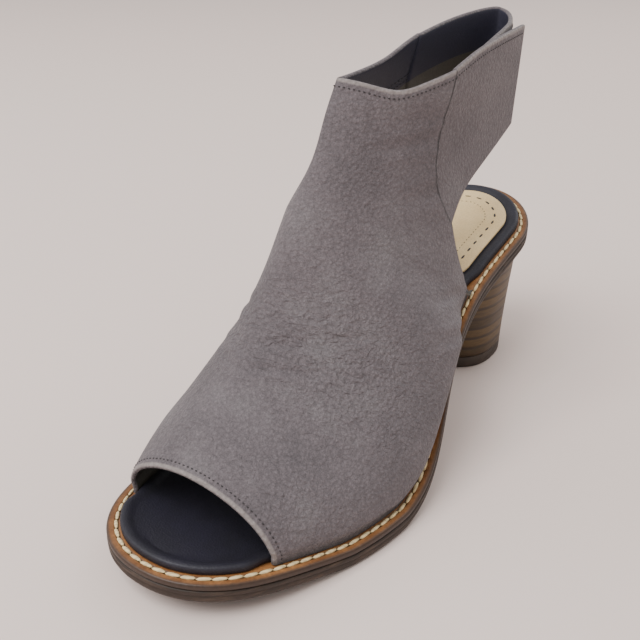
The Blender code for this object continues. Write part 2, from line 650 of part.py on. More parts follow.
def build_heel():
    loops = []
    for rise in np.linspace(0, 1, 6):
        flare = rise**1.5
        back = HEEL_BACK + (HEEL_TOP_BACK - HEEL_BACK) * flare
        length = HEEL_LENGTH + (HEEL_TOP_LENGTH - HEEL_LENGTH) * flare
        half = HEEL_HALF_WIDTH + (HEEL_TOP_HALF_WIDTH - HEEL_HALF_WIDTH) * flare
        base = (HEEL_TIP_THICK + GAP) * (1 - rise)
        loops.append(heel_level(back, length, half, lambda x: base + rise * (sole_bottom(x) - GAP)))
    slab("heel_block", loops, material("stacked_leather_heel", (0.400, 0.300, 0.200), 0.5))
    loops = [
        heel_level(HEEL_BACK + inset, HEEL_LENGTH - 2 * inset, HEEL_HALF_WIDTH - inset, lambda x: 0 * x + lift)
        for inset, lift in ((0.8 * MM, 0), (0.1 * MM, 0.7 * MM), (0, HEEL_TIP_THICK))
    ]
    slab("heel_tip", loops, material("dark_heel_tip", (0.035, 0.026, 0.022), 0.6))


shoe_form = Form()
shoe_tab = Tab(shoe_form)
build_upper(shoe_form, shoe_tab)
build_hook_pad(shoe_tab)
build_sole()
build_footbed()
build_heel()
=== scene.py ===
"""Looks of the left ankle strap heeled sandal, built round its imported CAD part.

Every length below is a real size in millimetres or a share of one. The shoe is measured from the
sole's heel end, and moved so that the heel tip's middle is the origin, as in the CAD part.
"""

import logging
from collections import namedtuple
from dataclasses import dataclass
from enum import Enum
from math import pi, radians
from typing import Callable, Optional, Sequence

import bmesh
import bpy
import numpy as np
from mathutils import Matrix, Vector
from mathutils.kdtree import KDTree


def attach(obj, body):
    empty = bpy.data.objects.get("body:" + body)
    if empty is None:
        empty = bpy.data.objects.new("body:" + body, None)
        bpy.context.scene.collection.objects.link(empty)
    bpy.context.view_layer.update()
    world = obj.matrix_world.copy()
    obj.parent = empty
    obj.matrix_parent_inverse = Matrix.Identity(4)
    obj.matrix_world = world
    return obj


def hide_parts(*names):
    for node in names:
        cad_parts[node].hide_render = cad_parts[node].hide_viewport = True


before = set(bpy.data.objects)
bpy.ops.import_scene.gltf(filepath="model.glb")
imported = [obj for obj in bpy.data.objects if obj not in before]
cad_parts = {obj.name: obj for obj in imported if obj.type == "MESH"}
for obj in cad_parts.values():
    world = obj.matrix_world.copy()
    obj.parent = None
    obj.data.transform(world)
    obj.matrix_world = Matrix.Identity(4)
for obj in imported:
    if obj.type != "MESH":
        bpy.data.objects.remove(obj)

LOG = logging.getLogger("sandal")
MM = 0.001
HEEL_CENTRE = 28 * MM
MERGE = 1e-7
HALVINGS = 30

Outline = namedtuple("Outline", "at lateral medial")
Profile = namedtuple("Profile", "at rise")
Section = namedtuple(
    "Section",
    "ridge_x ridge_z ridge_y end_x end_z end_y end_half close "
    "lat_swell lat_wide lat_nose lat_tail med_swell med_wide med_nose med_tail",
)
Mark = namedtuple("Mark", "x z")
Edge = namedtuple("Edge", "side x z")
Crease = namedtuple("Crease", "side row turn row_end turn_end depth width")


class Side(Enum):
    """A side of the shoe, by the sign of its y."""

    LATERAL = 1
    MEDIAL = -1


class Rim(Enum):
    """Which edge of a net a line runs along."""

    FIRST_ROW = "first row"
    LAST_ROW = "last row"
    LAST_COLUMN = "last column"


def spline(xs: Sequence[float], ys: Sequence[float]) -> Callable:
    """Natural cubic spline.

    Args:
        xs: Rising places.
        ys: Values there.

    Returns:
        The spline as a function of an array.
    """
    xs = np.asarray(xs, float)
    ys = np.asarray(ys, float)
    n = len(xs)
    h = np.diff(xs)
    a = np.eye(n)
    b = np.zeros(n)
    for i in range(1, n - 1):
        a[i, i - 1:i + 2] = h[i - 1], 2 * (h[i - 1] + h[i]), h[i]
        b[i] = 6 * ((ys[i + 1] - ys[i]) / h[i] - (ys[i] - ys[i - 1]) / h[i - 1])
    m = np.linalg.solve(a, b)

    def value(at: np.ndarray) -> np.ndarray:
        """The spline's values.

        Args:
            at: Places.

        Returns:
            The values there.
        """
        at = np.asarray(at, float)
        k = np.clip(np.searchsorted(xs, at) - 1, 0, n - 2)
        u = at - xs[k]
        v = xs[k + 1] - at
        curve = (m[k] * v**3 + m[k + 1] * u**3) / (6 * h[k])
        return curve + (ys[k] / h[k] - m[k] * h[k] / 6) * v + (ys[k + 1] / h[k] - m[k + 1] * h[k] / 6) * u

    return value


def column(rows: Sequence, name: str) -> list:
    """One named column of a table."""
    return [getattr(row, name) for row in rows]


def smooth(share: np.ndarray) -> np.ndarray:
    """Eases shares from 0 to 1, level at both ends."""
    return share * share * (3 - 2 * share)


def halve(too_low: Callable, low: float, high: float, shape: tuple) -> np.ndarray:
    """Finds by halving the values at which a test stops holding.

    Args:
        too_low: Says for an array of values which are still too low.
        low: The least value.
        high: The greatest value.
        shape: The shape of the array.

    Returns:
        The values.
    """
    low, high = np.full(shape, low), np.full(shape, high)
    for _ in range(HALVINGS):
        middle = (low + high) / 2
        rising = too_low(middle)
        low, high = np.where(rising, middle, low), np.where(rising, high, middle)
    return (low + high) / 2


def finder(points: np.ndarray) -> KDTree:
    """A tree that finds the nearest of these points.

    Args:
        points: The points.

    Returns:
        The balanced tree.
    """
    tree = KDTree(len(points))
    for k, point in enumerate(points):
        tree.insert(Vector(point), k)
    tree.balance()
    return tree


def nearest(points: np.ndarray, targets: np.ndarray) -> np.ndarray:
    """Distance from each point to the nearest target."""
    tree = finder(targets)
    return np.array([tree.find(Vector(p))[2] for p in points])


def coons(low: np.ndarray, high: np.ndarray, left: np.ndarray, right: np.ndarray) -> np.ndarray:
    """A grid between four edges.

    Args:
        low: Points along the first row.
        high: Points along the last row.
        left: Points along the first column.
        right: Points along the last column.

    Returns:
        The grid of points.
    """
    i = np.linspace(0, 1, len(left))[:, None, None]
    j = np.linspace(0, 1, len(low))[None, :, None]
    ruled_i = low[None] * (1 - i) + high[None] * i
    ruled_j = left[:, None] * (1 - j) + right[:, None] * j
    corners = (
        low[0] * (1 - i) * (1 - j) + low[-1] * (1 - i) * j + high[0] * i * (1 - j) + high[-1] * i * j
    )
    return ruled_i + ruled_j - corners


def linear(code: str) -> tuple[float, float, float, float]:
    """An sRGB hex colour as linear RGBA.

    Args:
        code: Such as "#8a8180".

    Returns:
        Four numbers from 0 to 1.
    """
    parts = [int(code[k:k + 2], 16) / 255 for k in (1, 3, 5)]
    red, green, blue = (p / 12.92 if p <= 0.04045 else ((p + 0.055) / 1.055) ** 2.4 for p in parts)
    return red, green, blue, 1.0


def node(
    tree: bpy.types.NodeTree, kind: str, inputs: Optional[dict] = None, **settings: object
) -> bpy.types.Node:
    """Adds a node.

    Args:
        tree: The tree it joins.
        kind: Blender's node type.
        inputs: Input name or number to a value, or to the socket that feeds it.
        settings: Attributes of the node.

    Returns:
        The new node.
    """
    made = tree.nodes.new(kind)
    for key, value in settings.items():
        setattr(made, key, value)
    for key, value in (inputs or {}).items():
        if isinstance(value, bpy.types.NodeSocket):
            tree.links.new(value, made.inputs[key])
        else:
            made.inputs[key].default_value = value
    return made


def ramp(
    tree: bpy.types.NodeTree, factor: bpy.types.NodeSocket, stops: Sequence[tuple]
) -> bpy.types.NodeSocket:
    """A colour ramp.

    Args:
        tree: The material's tree.
        factor: What drives it.
        stops: Pairs of place and linear colour.

    Returns:
        The colour socket.
    """
    made = node(tree, "ShaderNodeValToRGB", {"Fac": factor})
    band = made.color_ramp
    band.elements[0].position, band.elements[0].color = stops[0]
    band.elements[1].position, band.elements[1].color = stops[-1]
    for place, colour in stops[1:-1]:
        band.elements.new(place).color = colour
    return made.outputs["Color"]


def grey(value: float) -> tuple[float, float, float, float]:
    """A grey of this linear value."""
    return value, value, value, 1.0


@dataclass
class Sheet:
    """A plain mesh in the making."""

    points: np.ndarray
    faces: np.ndarray
    slots: np.ndarray

    def object(self, name: str, finishes: Sequence[bpy.types.Material]) -> bpy.types.Object:
        """Makes the Blender object, smooth, at the origin.

        Args:
            name: The piece's name.
            finishes: Its materials, by slot number.

        Returns:
            The new object.
        """
        mesh = bpy.data.meshes.new(name)
        mesh.from_pydata((self.points - (HEEL_CENTRE, 0, 0)).tolist(), [], self.faces.tolist())
        for finish in finishes:
            mesh.materials.append(finish)
        mesh.polygons.foreach_set("material_index", self.slots.astype(np.int32))
        mesh.polygons.foreach_set("use_smooth", np.ones(len(self.faces), bool))
        mesh.update()
        piece = bpy.data.objects.new(name, mesh)
        bpy.context.scene.collection.objects.link(piece)
        return piece


def attribute(piece: bpy.types.Object, name: str, values: np.ndarray) -> None:
    """Stores a number for each vertex, for the piece's material to read.

    Args:
        piece: The piece.
        name: The attribute's name.
        values: One number for each vertex.
    """
    made = piece.data.attributes.new(name, "FLOAT", "POINT")
    made.data.foreach_set("value", values.astype(np.float32))


def set_on_body(piece: bpy.types.Object, stands_for: Sequence[str] = ()) -> None:
    """Ties a finished piece to the frame.

    Args:
        piece: The finished mesh object.
        stands_for: CAD nodes that it replaces.
    """
    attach(piece, "root")
    if stands_for:
        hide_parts(*stands_for)
    LOG.info("%s: %d faces", piece.name, len(piece.data.polygons))


MULTIPLIED = {"data_type": "RGBA", "blend_type": "MULTIPLY"}


def blank(name: str) -> tuple:
    """A new material and what every finish starts from.

    Args:
        name: The material's name.

    Returns:
        The material, its tree, its shader and the Object coordinates.
    """
    made = bpy.data.materials.new(name)
    made.use_nodes = True
    tree = made.node_tree
    return made, tree, tree.nodes["Principled BSDF"], node(tree, "ShaderNodeTexCoord").outputs["Object"]


def coat(
    tree: bpy.types.NodeTree, shader: bpy.types.Node, colour: bpy.types.NodeSocket,
    height: bpy.types.NodeSocket, strength: float, depth_mm: float, values: dict,
) -> None:
    """Gives a shader its colour, its relief and its plain values.

    Args:
        tree: The material's tree.
        shader: The shader.
        colour: What colours it.
        height: What raises it.
        strength: How strongly the relief shows, from 0 to 1.
        depth_mm: The relief's depth.
        values: Shader input to value.
    """
    tree.links.new(colour, shader.inputs["Base Color"])
    for label, value in values.items():
        shader.inputs[label].default_value = value
    bump = node(tree, "ShaderNodeBump", {"Height": height, "Strength": strength, "Distance": depth_mm * MM})
    tree.links.new(bump.outputs[0], shader.inputs["Normal"])


@dataclass(frozen=True)
class Nubuck:
    """Grey nubuck: cowhide buffed on the grain side, so it is matt, velvety and faintly pebbled."""

    body: str = "#6b6366"
    dark: str = "#60595c"
    light: str = "#767072"
    edge: str = "#948b88"
    pebble_mm: float = 1.25
    nap_mm: float = 0.45
    cloud_per_m: float = 38.0
    wrinkle_per_m: tuple = (520.0, 190.0, 520.0)
    wrinkle_turn: tuple = (0.2, 0.5, 0.3)
    wrinkle_height: float = 2.6

    def build(self) -> bpy.types.Material:
        """Velvety grey, paler at folded edges, darker in seams, and darker where it meets the welt, partly as
        a stained edge and partly as painted shade.

        Returns:
            The material, which reads edge_mm, seam_mm, foot_mm and flex.
        """
        made, tree, shader, place = blank("grey_nubuck_leather")
        edge, seam, foot, flex = (
            node(tree, "ShaderNodeAttribute", attribute_name=name).outputs["Fac"]
            for name in ("edge_mm", "seam_mm", "foot_mm", "flex")
        )
        cloud = node(tree, "ShaderNodeTexNoise", {
            "Vector": place, "Scale": self.cloud_per_m, "Detail": 5.0, "Roughness": 0.6,
        })
        speck = node(tree, "ShaderNodeTexNoise", {
            "Vector": place, "Scale": 1 / (self.nap_mm * MM), "Detail": 2.0,
        })
        tone = ramp(tree, cloud.outputs["Fac"], (
            (0.30, linear(self.dark)), (0.52, linear(self.body)), (0.75, linear(self.light)),
        ))
        grain = ramp(tree, speck.outputs["Fac"], ((0.30, grey(0.74)), (0.70, grey(1.22))))
        mixed = node(tree, "ShaderNodeMix", {0: 1.0, 6: tone, 7: grain}, **MULTIPLIED)
        near = node(tree, "ShaderNodeMapRange", {0: edge, 1: 0.45, 2: 1.0, 3: 0.9, 4: 0.0})
        coloured = node(tree, "ShaderNodeMix", {
            0: near.outputs[0], 6: mixed.outputs[2], 7: linear(self.edge),
        }, data_type="RGBA")
        pebble = node(tree, "ShaderNodeTexVoronoi", {
            "Vector": place, "Scale": 1 / (self.pebble_mm * MM), "Smoothness": 0.6,
        }, feature="SMOOTH_F1")
        pitted = ramp(tree, pebble.outputs["Distance"], ((0.0, grey(1.12)), (0.65, grey(0.74))))
        grained = node(tree, "ShaderNodeMix", {0: 0.8, 6: coloured.outputs[2], 7: pitted}, **MULTIPLIED)
        by_seam = node(tree, "ShaderNodeMapRange", {0: seam, 1: 0.3, 2: 1.1, 3: 0.30, 4: 1.0})
        # Darker within 2.6 mm of the upper's foot on the welt: partly a stained edge, partly painted shade
        # where the upper meets the welt.
        foot_stain_and_shade = node(tree, "ShaderNodeMapRange", {0: foot, 1: 0.6, 2: 2.6, 3: 0.45, 4: 1.0})
        both = node(tree, "ShaderNodeMath", {0: by_seam.outputs[0], 1: foot_stain_and_shade.outputs[0]},
                    operation="MULTIPLY")
        shaded = node(tree, "ShaderNodeMix", {0: 1.0, 6: grained.outputs[2], 7: both.outputs[0]},
                      **MULTIPLIED)
        stretch = node(tree, "ShaderNodeMapping", {
            "Vector": place, "Scale": self.wrinkle_per_m, "Rotation": self.wrinkle_turn,
        })
        wrinkle = node(tree, "ShaderNodeTexNoise", {
            "Vector": stretch.outputs[0], "Scale": 1.0, "Detail": 3.0, "Distortion": 0.8,
        })
        wrinkled = node(tree, "ShaderNodeMath", {0: wrinkle.outputs["Fac"], 1: flex}, operation="MULTIPLY")
        folded = node(tree, "ShaderNodeMath", {0: wrinkled.outputs[0], 1: self.wrinkle_height},
                      operation="MULTIPLY")
        raised = node(tree, "ShaderNodeMath", {0: pebble.outputs["Distance"], 1: -0.45},
                      operation="MULTIPLY")
        height = node(tree, "ShaderNodeMath", {0: raised.outputs[0], 1: folded.outputs[0]}, operation="ADD")
        fine = node(tree, "ShaderNodeMath", {0: speck.outputs["Fac"], 1: 0.18, 2: height.outputs[0]},
                    operation="MULTIPLY_ADD")
        coat(tree, shader, shaded.outputs[2], fine.outputs[0], 0.9, 0.8, {
            "Roughness": 0.86, "Sheen Weight": 0.12, "Sheen Roughness": 0.45, "IOR": 1.45,
        })
        return made


@dataclass(frozen=True)
class Lining:
    """Lining leather: thin, smooth, finished skin; a navy band at the top and grey-olive below it."""

    band: str = "#3c3b49"
    below: str = "#5b564f"
    band_mm: float = 16.0
    grain_mm: float = 0.8

    def build(self) -> bpy.types.Material:
        """Two plain colours with a fine grain.

        Returns:
            The material, which reads collar_mm for the depth below the collar.
        """
        made, tree, shader, place = blank("navy_and_olive_lining_leather")
        depth = node(tree, "ShaderNodeAttribute", attribute_name="collar_mm").outputs["Fac"]
        under = node(tree, "ShaderNodeMath", {0: depth, 1: self.band_mm}, operation="GREATER_THAN")
        colour = node(tree, "ShaderNodeMix", {
            0: under.outputs[0], 6: linear(self.band), 7: linear(self.below),
        }, data_type="RGBA")
        grain = node(tree, "ShaderNodeTexNoise", {
            "Vector": place, "Scale": 1 / (self.grain_mm * MM), "Detail": 4.0,
        }).outputs["Fac"]
        shade = ramp(tree, grain, ((0.3, grey(0.85)), (0.7, grey(1.1))))
        mixed = node(tree, "ShaderNodeMix", {0: 1.0, 6: colour.outputs[2], 7: shade}, **MULTIPLIED)
        coat(tree, shader, mixed.outputs[2], grain, 0.35, 0.3, {"Roughness": 0.5})
        return made


@dataclass(frozen=True)
class SmoothLeather:
    """Finished leather: a thin coat over fine grain, rubbed lighter where it wears."""

    name: str
    body: str
    worn: str
    roughness: float = 0.5
    grain_mm: float = 0.7
    cloud_mm: float = 22.0
    bump: float = 0.3

    def build(self) -> bpy.types.Material:
        """A fine grain, worn paler and glossier in patches.

        Returns:
            The material.
        """
        made, tree, shader, place = blank(self.name)
        cloud = node(tree, "ShaderNodeTexNoise", {
            "Vector": place, "Scale": 1 / (self.cloud_mm * MM), "Detail": 6.0, "Roughness": 0.65,
        }).outputs["Fac"]
        tone = ramp(tree, cloud, ((0.38, linear(self.body)), (0.72, linear(self.worn))))
        grain = node(tree, "ShaderNodeTexVoronoi", {
            "Vector": place, "Scale": 1 / (self.grain_mm * MM),
        }).outputs["Distance"]
        shade = ramp(tree, grain, ((0.0, grey(0.88)), (0.6, grey(1.06))))
        mixed = node(tree, "ShaderNodeMix", {0: 1.0, 6: tone, 7: shade}, **MULTIPLIED)
        gloss = node(tree, "ShaderNodeMapRange", {
            0: cloud, 1: 0.3, 2: 0.7, 3: self.roughness + 0.08, 4: self.roughness - 0.06,
        })
        tree.links.new(gloss.outputs[0], shader.inputs["Roughness"])
        coat(tree, shader, mixed.outputs[2], grain, self.bump, 0.3, {})
        return made


@dataclass(frozen=True)
class WeltLeather:
    """Russet welt strip: dyed leather with a soft wax shine, its cut side coloured dark brown with ink, and
    painted shade in its stitch groove.
    """

    body: str = "#7c4f2b"
    light: str = "#a87445"
    ink: str = "#38261a"
    cloud_per_m: float = 110.0
    fibre_per_m: float = 900.0

    def build(self) -> bpy.types.Material:
        """Mottled russet, dark brown with ink on the cut side and darkened in the stitch groove as painted
        shade.

        Returns:
            The material, which reads a per-point attribute for the dark: ink on the cut side, painted shade
            in the stitch groove.
        """
        made, tree, shader, place = blank("russet_welt_leather")
        cloud = node(tree, "ShaderNodeTexNoise", {
            "Vector": place, "Scale": self.cloud_per_m, "Detail": 6.0, "Roughness": 0.65,
        }).outputs["Fac"]
        tone = ramp(tree, cloud, ((0.35, linear(self.body)), (0.7, linear(self.light))))
        # Dark share: ink on the cut side, and painted shade in the stitch groove.
        ink_and_groove_shade = node(tree, "ShaderNodeAttribute", attribute_name="ink_and_groove_shade").outputs["Fac"]
        coloured = node(tree, "ShaderNodeMix", {0: ink_and_groove_shade, 6: tone, 7: linear(self.ink)}, data_type="RGBA")
        fine = node(tree, "ShaderNodeTexNoise", {
            "Vector": place, "Scale": self.fibre_per_m, "Detail": 4.0,
        }).outputs["Fac"]
        shade = ramp(tree, fine, ((0.3, grey(0.78)), (0.7, grey(1.15))))
        mixed = node(tree, "ShaderNodeMix", {0: 1.0, 6: coloured.outputs[2], 7: shade}, **MULTIPLIED)
        coat(tree, shader, mixed.outputs[2], fine, 0.35, 0.3, {"Roughness": 0.46})
        return made


@dataclass(frozen=True)
class WornSole:
    """Moulded rubber and board, inked brown: matt, streaked and scuffed paler along its edge."""

    body: str = "#2d2017"
    dark: str = "#2b1f17"
    scuff: str = "#4b3a2d"
    streak_per_m: tuple = (70.0, 70.0, 700.0)
    spot_per_m: float = 260.0

    def build(self) -> bpy.types.Material:
        """Level streaks with darker spots.

        Returns:
            The material.
        """
        made, tree, shader, place = blank("brown_moulded_sole")
        streak = node(tree, "ShaderNodeMapping", {"Vector": place, "Scale": self.streak_per_m})
        lines = node(tree, "ShaderNodeTexNoise", {
            "Vector": streak.outputs[0], "Scale": 1.0, "Detail": 6.0, "Roughness": 0.7,
        }).outputs["Fac"]
        spots = node(tree, "ShaderNodeTexNoise", {"Vector": place, "Scale": self.spot_per_m, "Detail": 4.0})
        tone = ramp(tree, lines, (
            (0.30, linear(self.dark)), (0.50, linear(self.body)), (0.68, linear(self.scuff)),
        ))
        shade = ramp(tree, spots.outputs["Fac"], ((0.3, grey(0.75)), (0.7, grey(1.2))))
        mixed = node(tree, "ShaderNodeMix", {0: 1.0, 6: tone, 7: shade}, **MULTIPLIED)
        coat(tree, shader, mixed.outputs[2], lines, 0.4, 0.4, {"Roughness": 0.62})
        return made


@dataclass(frozen=True)
class StackedLeather:
    """Stacked leather board, sanded and waxed: brown layers with dark glue lines between them."""

    body: str = "#594321"
    dark: str = "#3f2e14"
    line: str = "#2f1f0d"
    layer_mm: float = 5.1
    wander_mm: float = 0.5
    wander_per_m: float = 60.0
    fibre_per_m: tuple = (220.0, 220.0, 1500.0)

    def build(self) -> bpy.types.Material:
        """Layers that follow the height over the floor.

        Returns:
            The material.
        """
        made, tree, shader, place = blank("stacked_heel_leather")
        apart = node(tree, "ShaderNodeSeparateXYZ", {0: place})
        wander = node(tree, "ShaderNodeTexNoise", {
            "Vector": place, "Scale": self.wander_per_m, "Detail": 2.0,
        })
        lift = node(tree, "ShaderNodeMath", {
            0: wander.outputs["Fac"], 1: self.wander_mm * MM, 2: apart.outputs[2],
        }, operation="MULTIPLY_ADD")
        count = node(tree, "ShaderNodeMath", {0: lift.outputs[0], 1: 1 / (self.layer_mm * MM)},
                     operation="MULTIPLY").outputs[0]
        part = node(tree, "ShaderNodeMath", {0: count}, operation="FRACT")
        whole = node(tree, "ShaderNodeMath", {0: count}, operation="FLOOR")
        pick = node(tree, "ShaderNodeTexWhiteNoise", {"W": whole.outputs[0]}, noise_dimensions="1D")
        layer = ramp(tree, pick.outputs["Value"], ((0.0, linear(self.dark)), (1.0, linear(self.body))))
        seam = ramp(tree, part.outputs[0], (
            (0.0, grey(1.0)), (0.17, grey(0.85)), (0.33, grey(0.0)), (0.90, grey(0.0)), (1.0, grey(1.0)),
        ))
        coloured = node(tree, "ShaderNodeMix", {0: seam, 6: layer, 7: linear(self.line)}, data_type="RGBA")
        stretched = node(tree, "ShaderNodeMapping", {"Vector": place, "Scale": self.fibre_per_m})
        fibre = node(tree, "ShaderNodeTexNoise", {
            "Vector": stretched.outputs[0], "Scale": 1.0, "Detail": 4.0,
        }).outputs["Fac"]
        shade = ramp(tree, fibre, ((0.3, grey(0.72)), (0.7, grey(1.18))))
        mixed = node(tree, "ShaderNodeMix", {0: 1.0, 6: coloured.outputs[2], 7: shade}, **MULTIPLIED)
        height = node(tree, "ShaderNodeMath", {0: seam, 1: -1.0, 2: fibre}, operation="MULTIPLY_ADD")
        coat(tree, shader, mixed.outputs[2], height.outputs[0], 0.35, 0.3, {"Roughness": 0.48})
        return made


@dataclass(frozen=True)
class Thread:
    """Waxed thread: a twisted cord, so it has a soft shine and slanting strands."""

    name: str
    body: str
    strand_mm: float = 0.6
    bands_per_strand: float = 0.16

    def build(self) -> bpy.types.Material:
        """One colour, with painted shade between the strands.

        Returns:
            The material.
        """
        made, tree, shader, place = blank(self.name)
        strands = node(tree, "ShaderNodeTexWave", {
            "Vector": place, "Scale": self.bands_per_strand / (self.strand_mm * MM), "Distortion": 1.5,
        }, bands_direction="DIAGONAL").outputs["Fac"]
        # Painted shade in the grooves between the twisted strands.
        shade = ramp(tree, strands, ((0.0, grey(0.72)), (0.6, grey(1.0))))
        mixed = node(tree, "ShaderNodeMix", {0: 1.0, 6: linear(self.body), 7: shade}, **MULTIPLIED)
        coat(tree, shader, mixed.outputs[2], strands, 0.4, 0.2, {"Roughness": 0.6})
        return made


@dataclass(frozen=True)
class HookTape:
    """Woven nylon tape with cut loops: black, dull and fuzzy."""

    body: str = "#1a191b"
    tuft: str = "#3a3839"
    tuft_mm: float = 0.9

    def build(self) -> bpy.types.Material:
        """Pale tufts on black.

        Returns:
            The material.
        """
        made, tree, shader, place = blank("black_hook_and_loop_tape")
        tufts = node(tree, "ShaderNodeTexVoronoi", {
            "Vector": place, "Scale": 1 / (self.tuft_mm * MM),
        }).outputs["Distance"]
        tone = ramp(tree, tufts, ((0.0, linear(self.tuft)), (0.5, linear(self.body))))
        coat(tree, shader, tone, tufts, 0.9, 0.6, {"Roughness": 0.95, "Sheen Weight": 0.3})
        return made


@dataclass
class StitchRow:
    """A row of stitches along a path, made with Geometry Nodes."""

    name: str
    path: np.ndarray
    length_mm: float
    pitch_mm: float
    width_mm: float
    height_mm: float
    finish: bpy.types.Material
    closed: bool = False
    turn: float = 0.0
    blank_size: tuple = (1.12, 1.2, 1.2)

    def tree(self) -> bpy.types.NodeTree:
        """Curve from the path, a point for each stitch, and a rounded stitch on each point.

        Returns:
            The node group, with named inputs for its sizes.
        """
        group = bpy.data.node_groups.new(self.name + "_rule", "GeometryNodeTree")
        face = group.interface
        face.new_socket("Geometry", in_out="INPUT", socket_type="NodeSocketGeometry")
        for label in ("Pitch", "Length", "Width", "Height", "Turn"):
            face.new_socket(label, in_out="INPUT", socket_type="NodeSocketFloat")
        face.new_socket("Finish", in_out="INPUT", socket_type="NodeSocketMaterial")
        face.new_socket("Geometry", in_out="OUTPUT", socket_type="NodeSocketGeometry")
        given = node(group, "NodeGroupInput").outputs
        line = node(group, "GeometryNodeMeshToCurve", {"Mesh": given["Geometry"]})
        spaced = node(group, "GeometryNodeResampleCurve", {
            "Curve": line.outputs[0], "Length": given["Pitch"],
        }, mode="LENGTH")
        along = node(group, "GeometryNodeInputTangent")
        facing = node(group, "FunctionNodeAlignRotationToVector", {"Vector": along.outputs[0]}, axis="X")
        swing = node(group, "ShaderNodeCombineXYZ", {"Z": given["Turn"]})
        swung = node(group, "FunctionNodeRotateRotation", {
            "Rotation": facing.outputs[0], "Rotate By": swing.outputs[0],
        }, rotation_space="LOCAL")
        bar = node(group, "GeometryNodeMeshCube", {"Size": self.blank_size})
        bead = node(group, "GeometryNodeSubdivisionSurface", {"Mesh": bar.outputs["Mesh"], "Level": 1})
        size = node(group, "ShaderNodeCombineXYZ", {
            "X": given["Length"], "Y": given["Width"], "Z": given["Height"],
        })
        placed = node(group, "GeometryNodeInstanceOnPoints", {
            "Points": spaced.outputs[0], "Instance": bead.outputs["Mesh"], "Rotation": swung.outputs[0],
            "Scale": size.outputs[0],
        })
        real = node(group, "GeometryNodeRealizeInstances", {"Geometry": placed.outputs[0]})
        rounded = node(group, "GeometryNodeSetShadeSmooth", {"Geometry": real.outputs[0]})
        dressed = node(group, "GeometryNodeSetMaterial", {
            "Geometry": rounded.outputs[0], "Material": given["Finish"],
        })
        node(group, "NodeGroupOutput", {"Geometry": dressed.outputs[0]})
        return group

    def build(self) -> bpy.types.Object:
        """Makes the stitches as one plain mesh.

        Returns:
            The finished piece, at the origin.
        """
        count = len(self.path)
        pairs = [(k, k + 1) for k in range(count - 1)] + ([(count - 1, 0)] if self.closed else [])
        mesh = bpy.data.meshes.new(self.name + "_path")
        mesh.from_pydata((self.path - (HEEL_CENTRE, 0, 0)).tolist(), pairs, [])
        guide = bpy.data.objects.new(self.name + "_path", mesh)
        bpy.context.scene.collection.objects.link(guide)
        rule = guide.modifiers.new("Stitches", "NODES")
        rule.node_group = self.tree()
        given = {
            "Pitch": self.pitch_mm * MM, "Length": self.length_mm * MM, "Width": self.width_mm * MM,
            "Height": self.height_mm * MM, "Turn": self.turn, "Finish": self.finish,
        }
        for item in rule.node_group.interface.items_tree:
            if item.in_out == "INPUT" and item.name in given:
                rule[item.identifier] = given[item.name]
        graph = bpy.context.evaluated_depsgraph_get()
        plain = bpy.data.meshes.new_from_object(guide.evaluated_get(graph))
        bpy.data.objects.remove(guide, do_unlink=True)
        plain.name = self.name
        piece = bpy.data.objects.new(self.name, plain)
        bpy.context.scene.collection.objects.link(piece)
        return piece


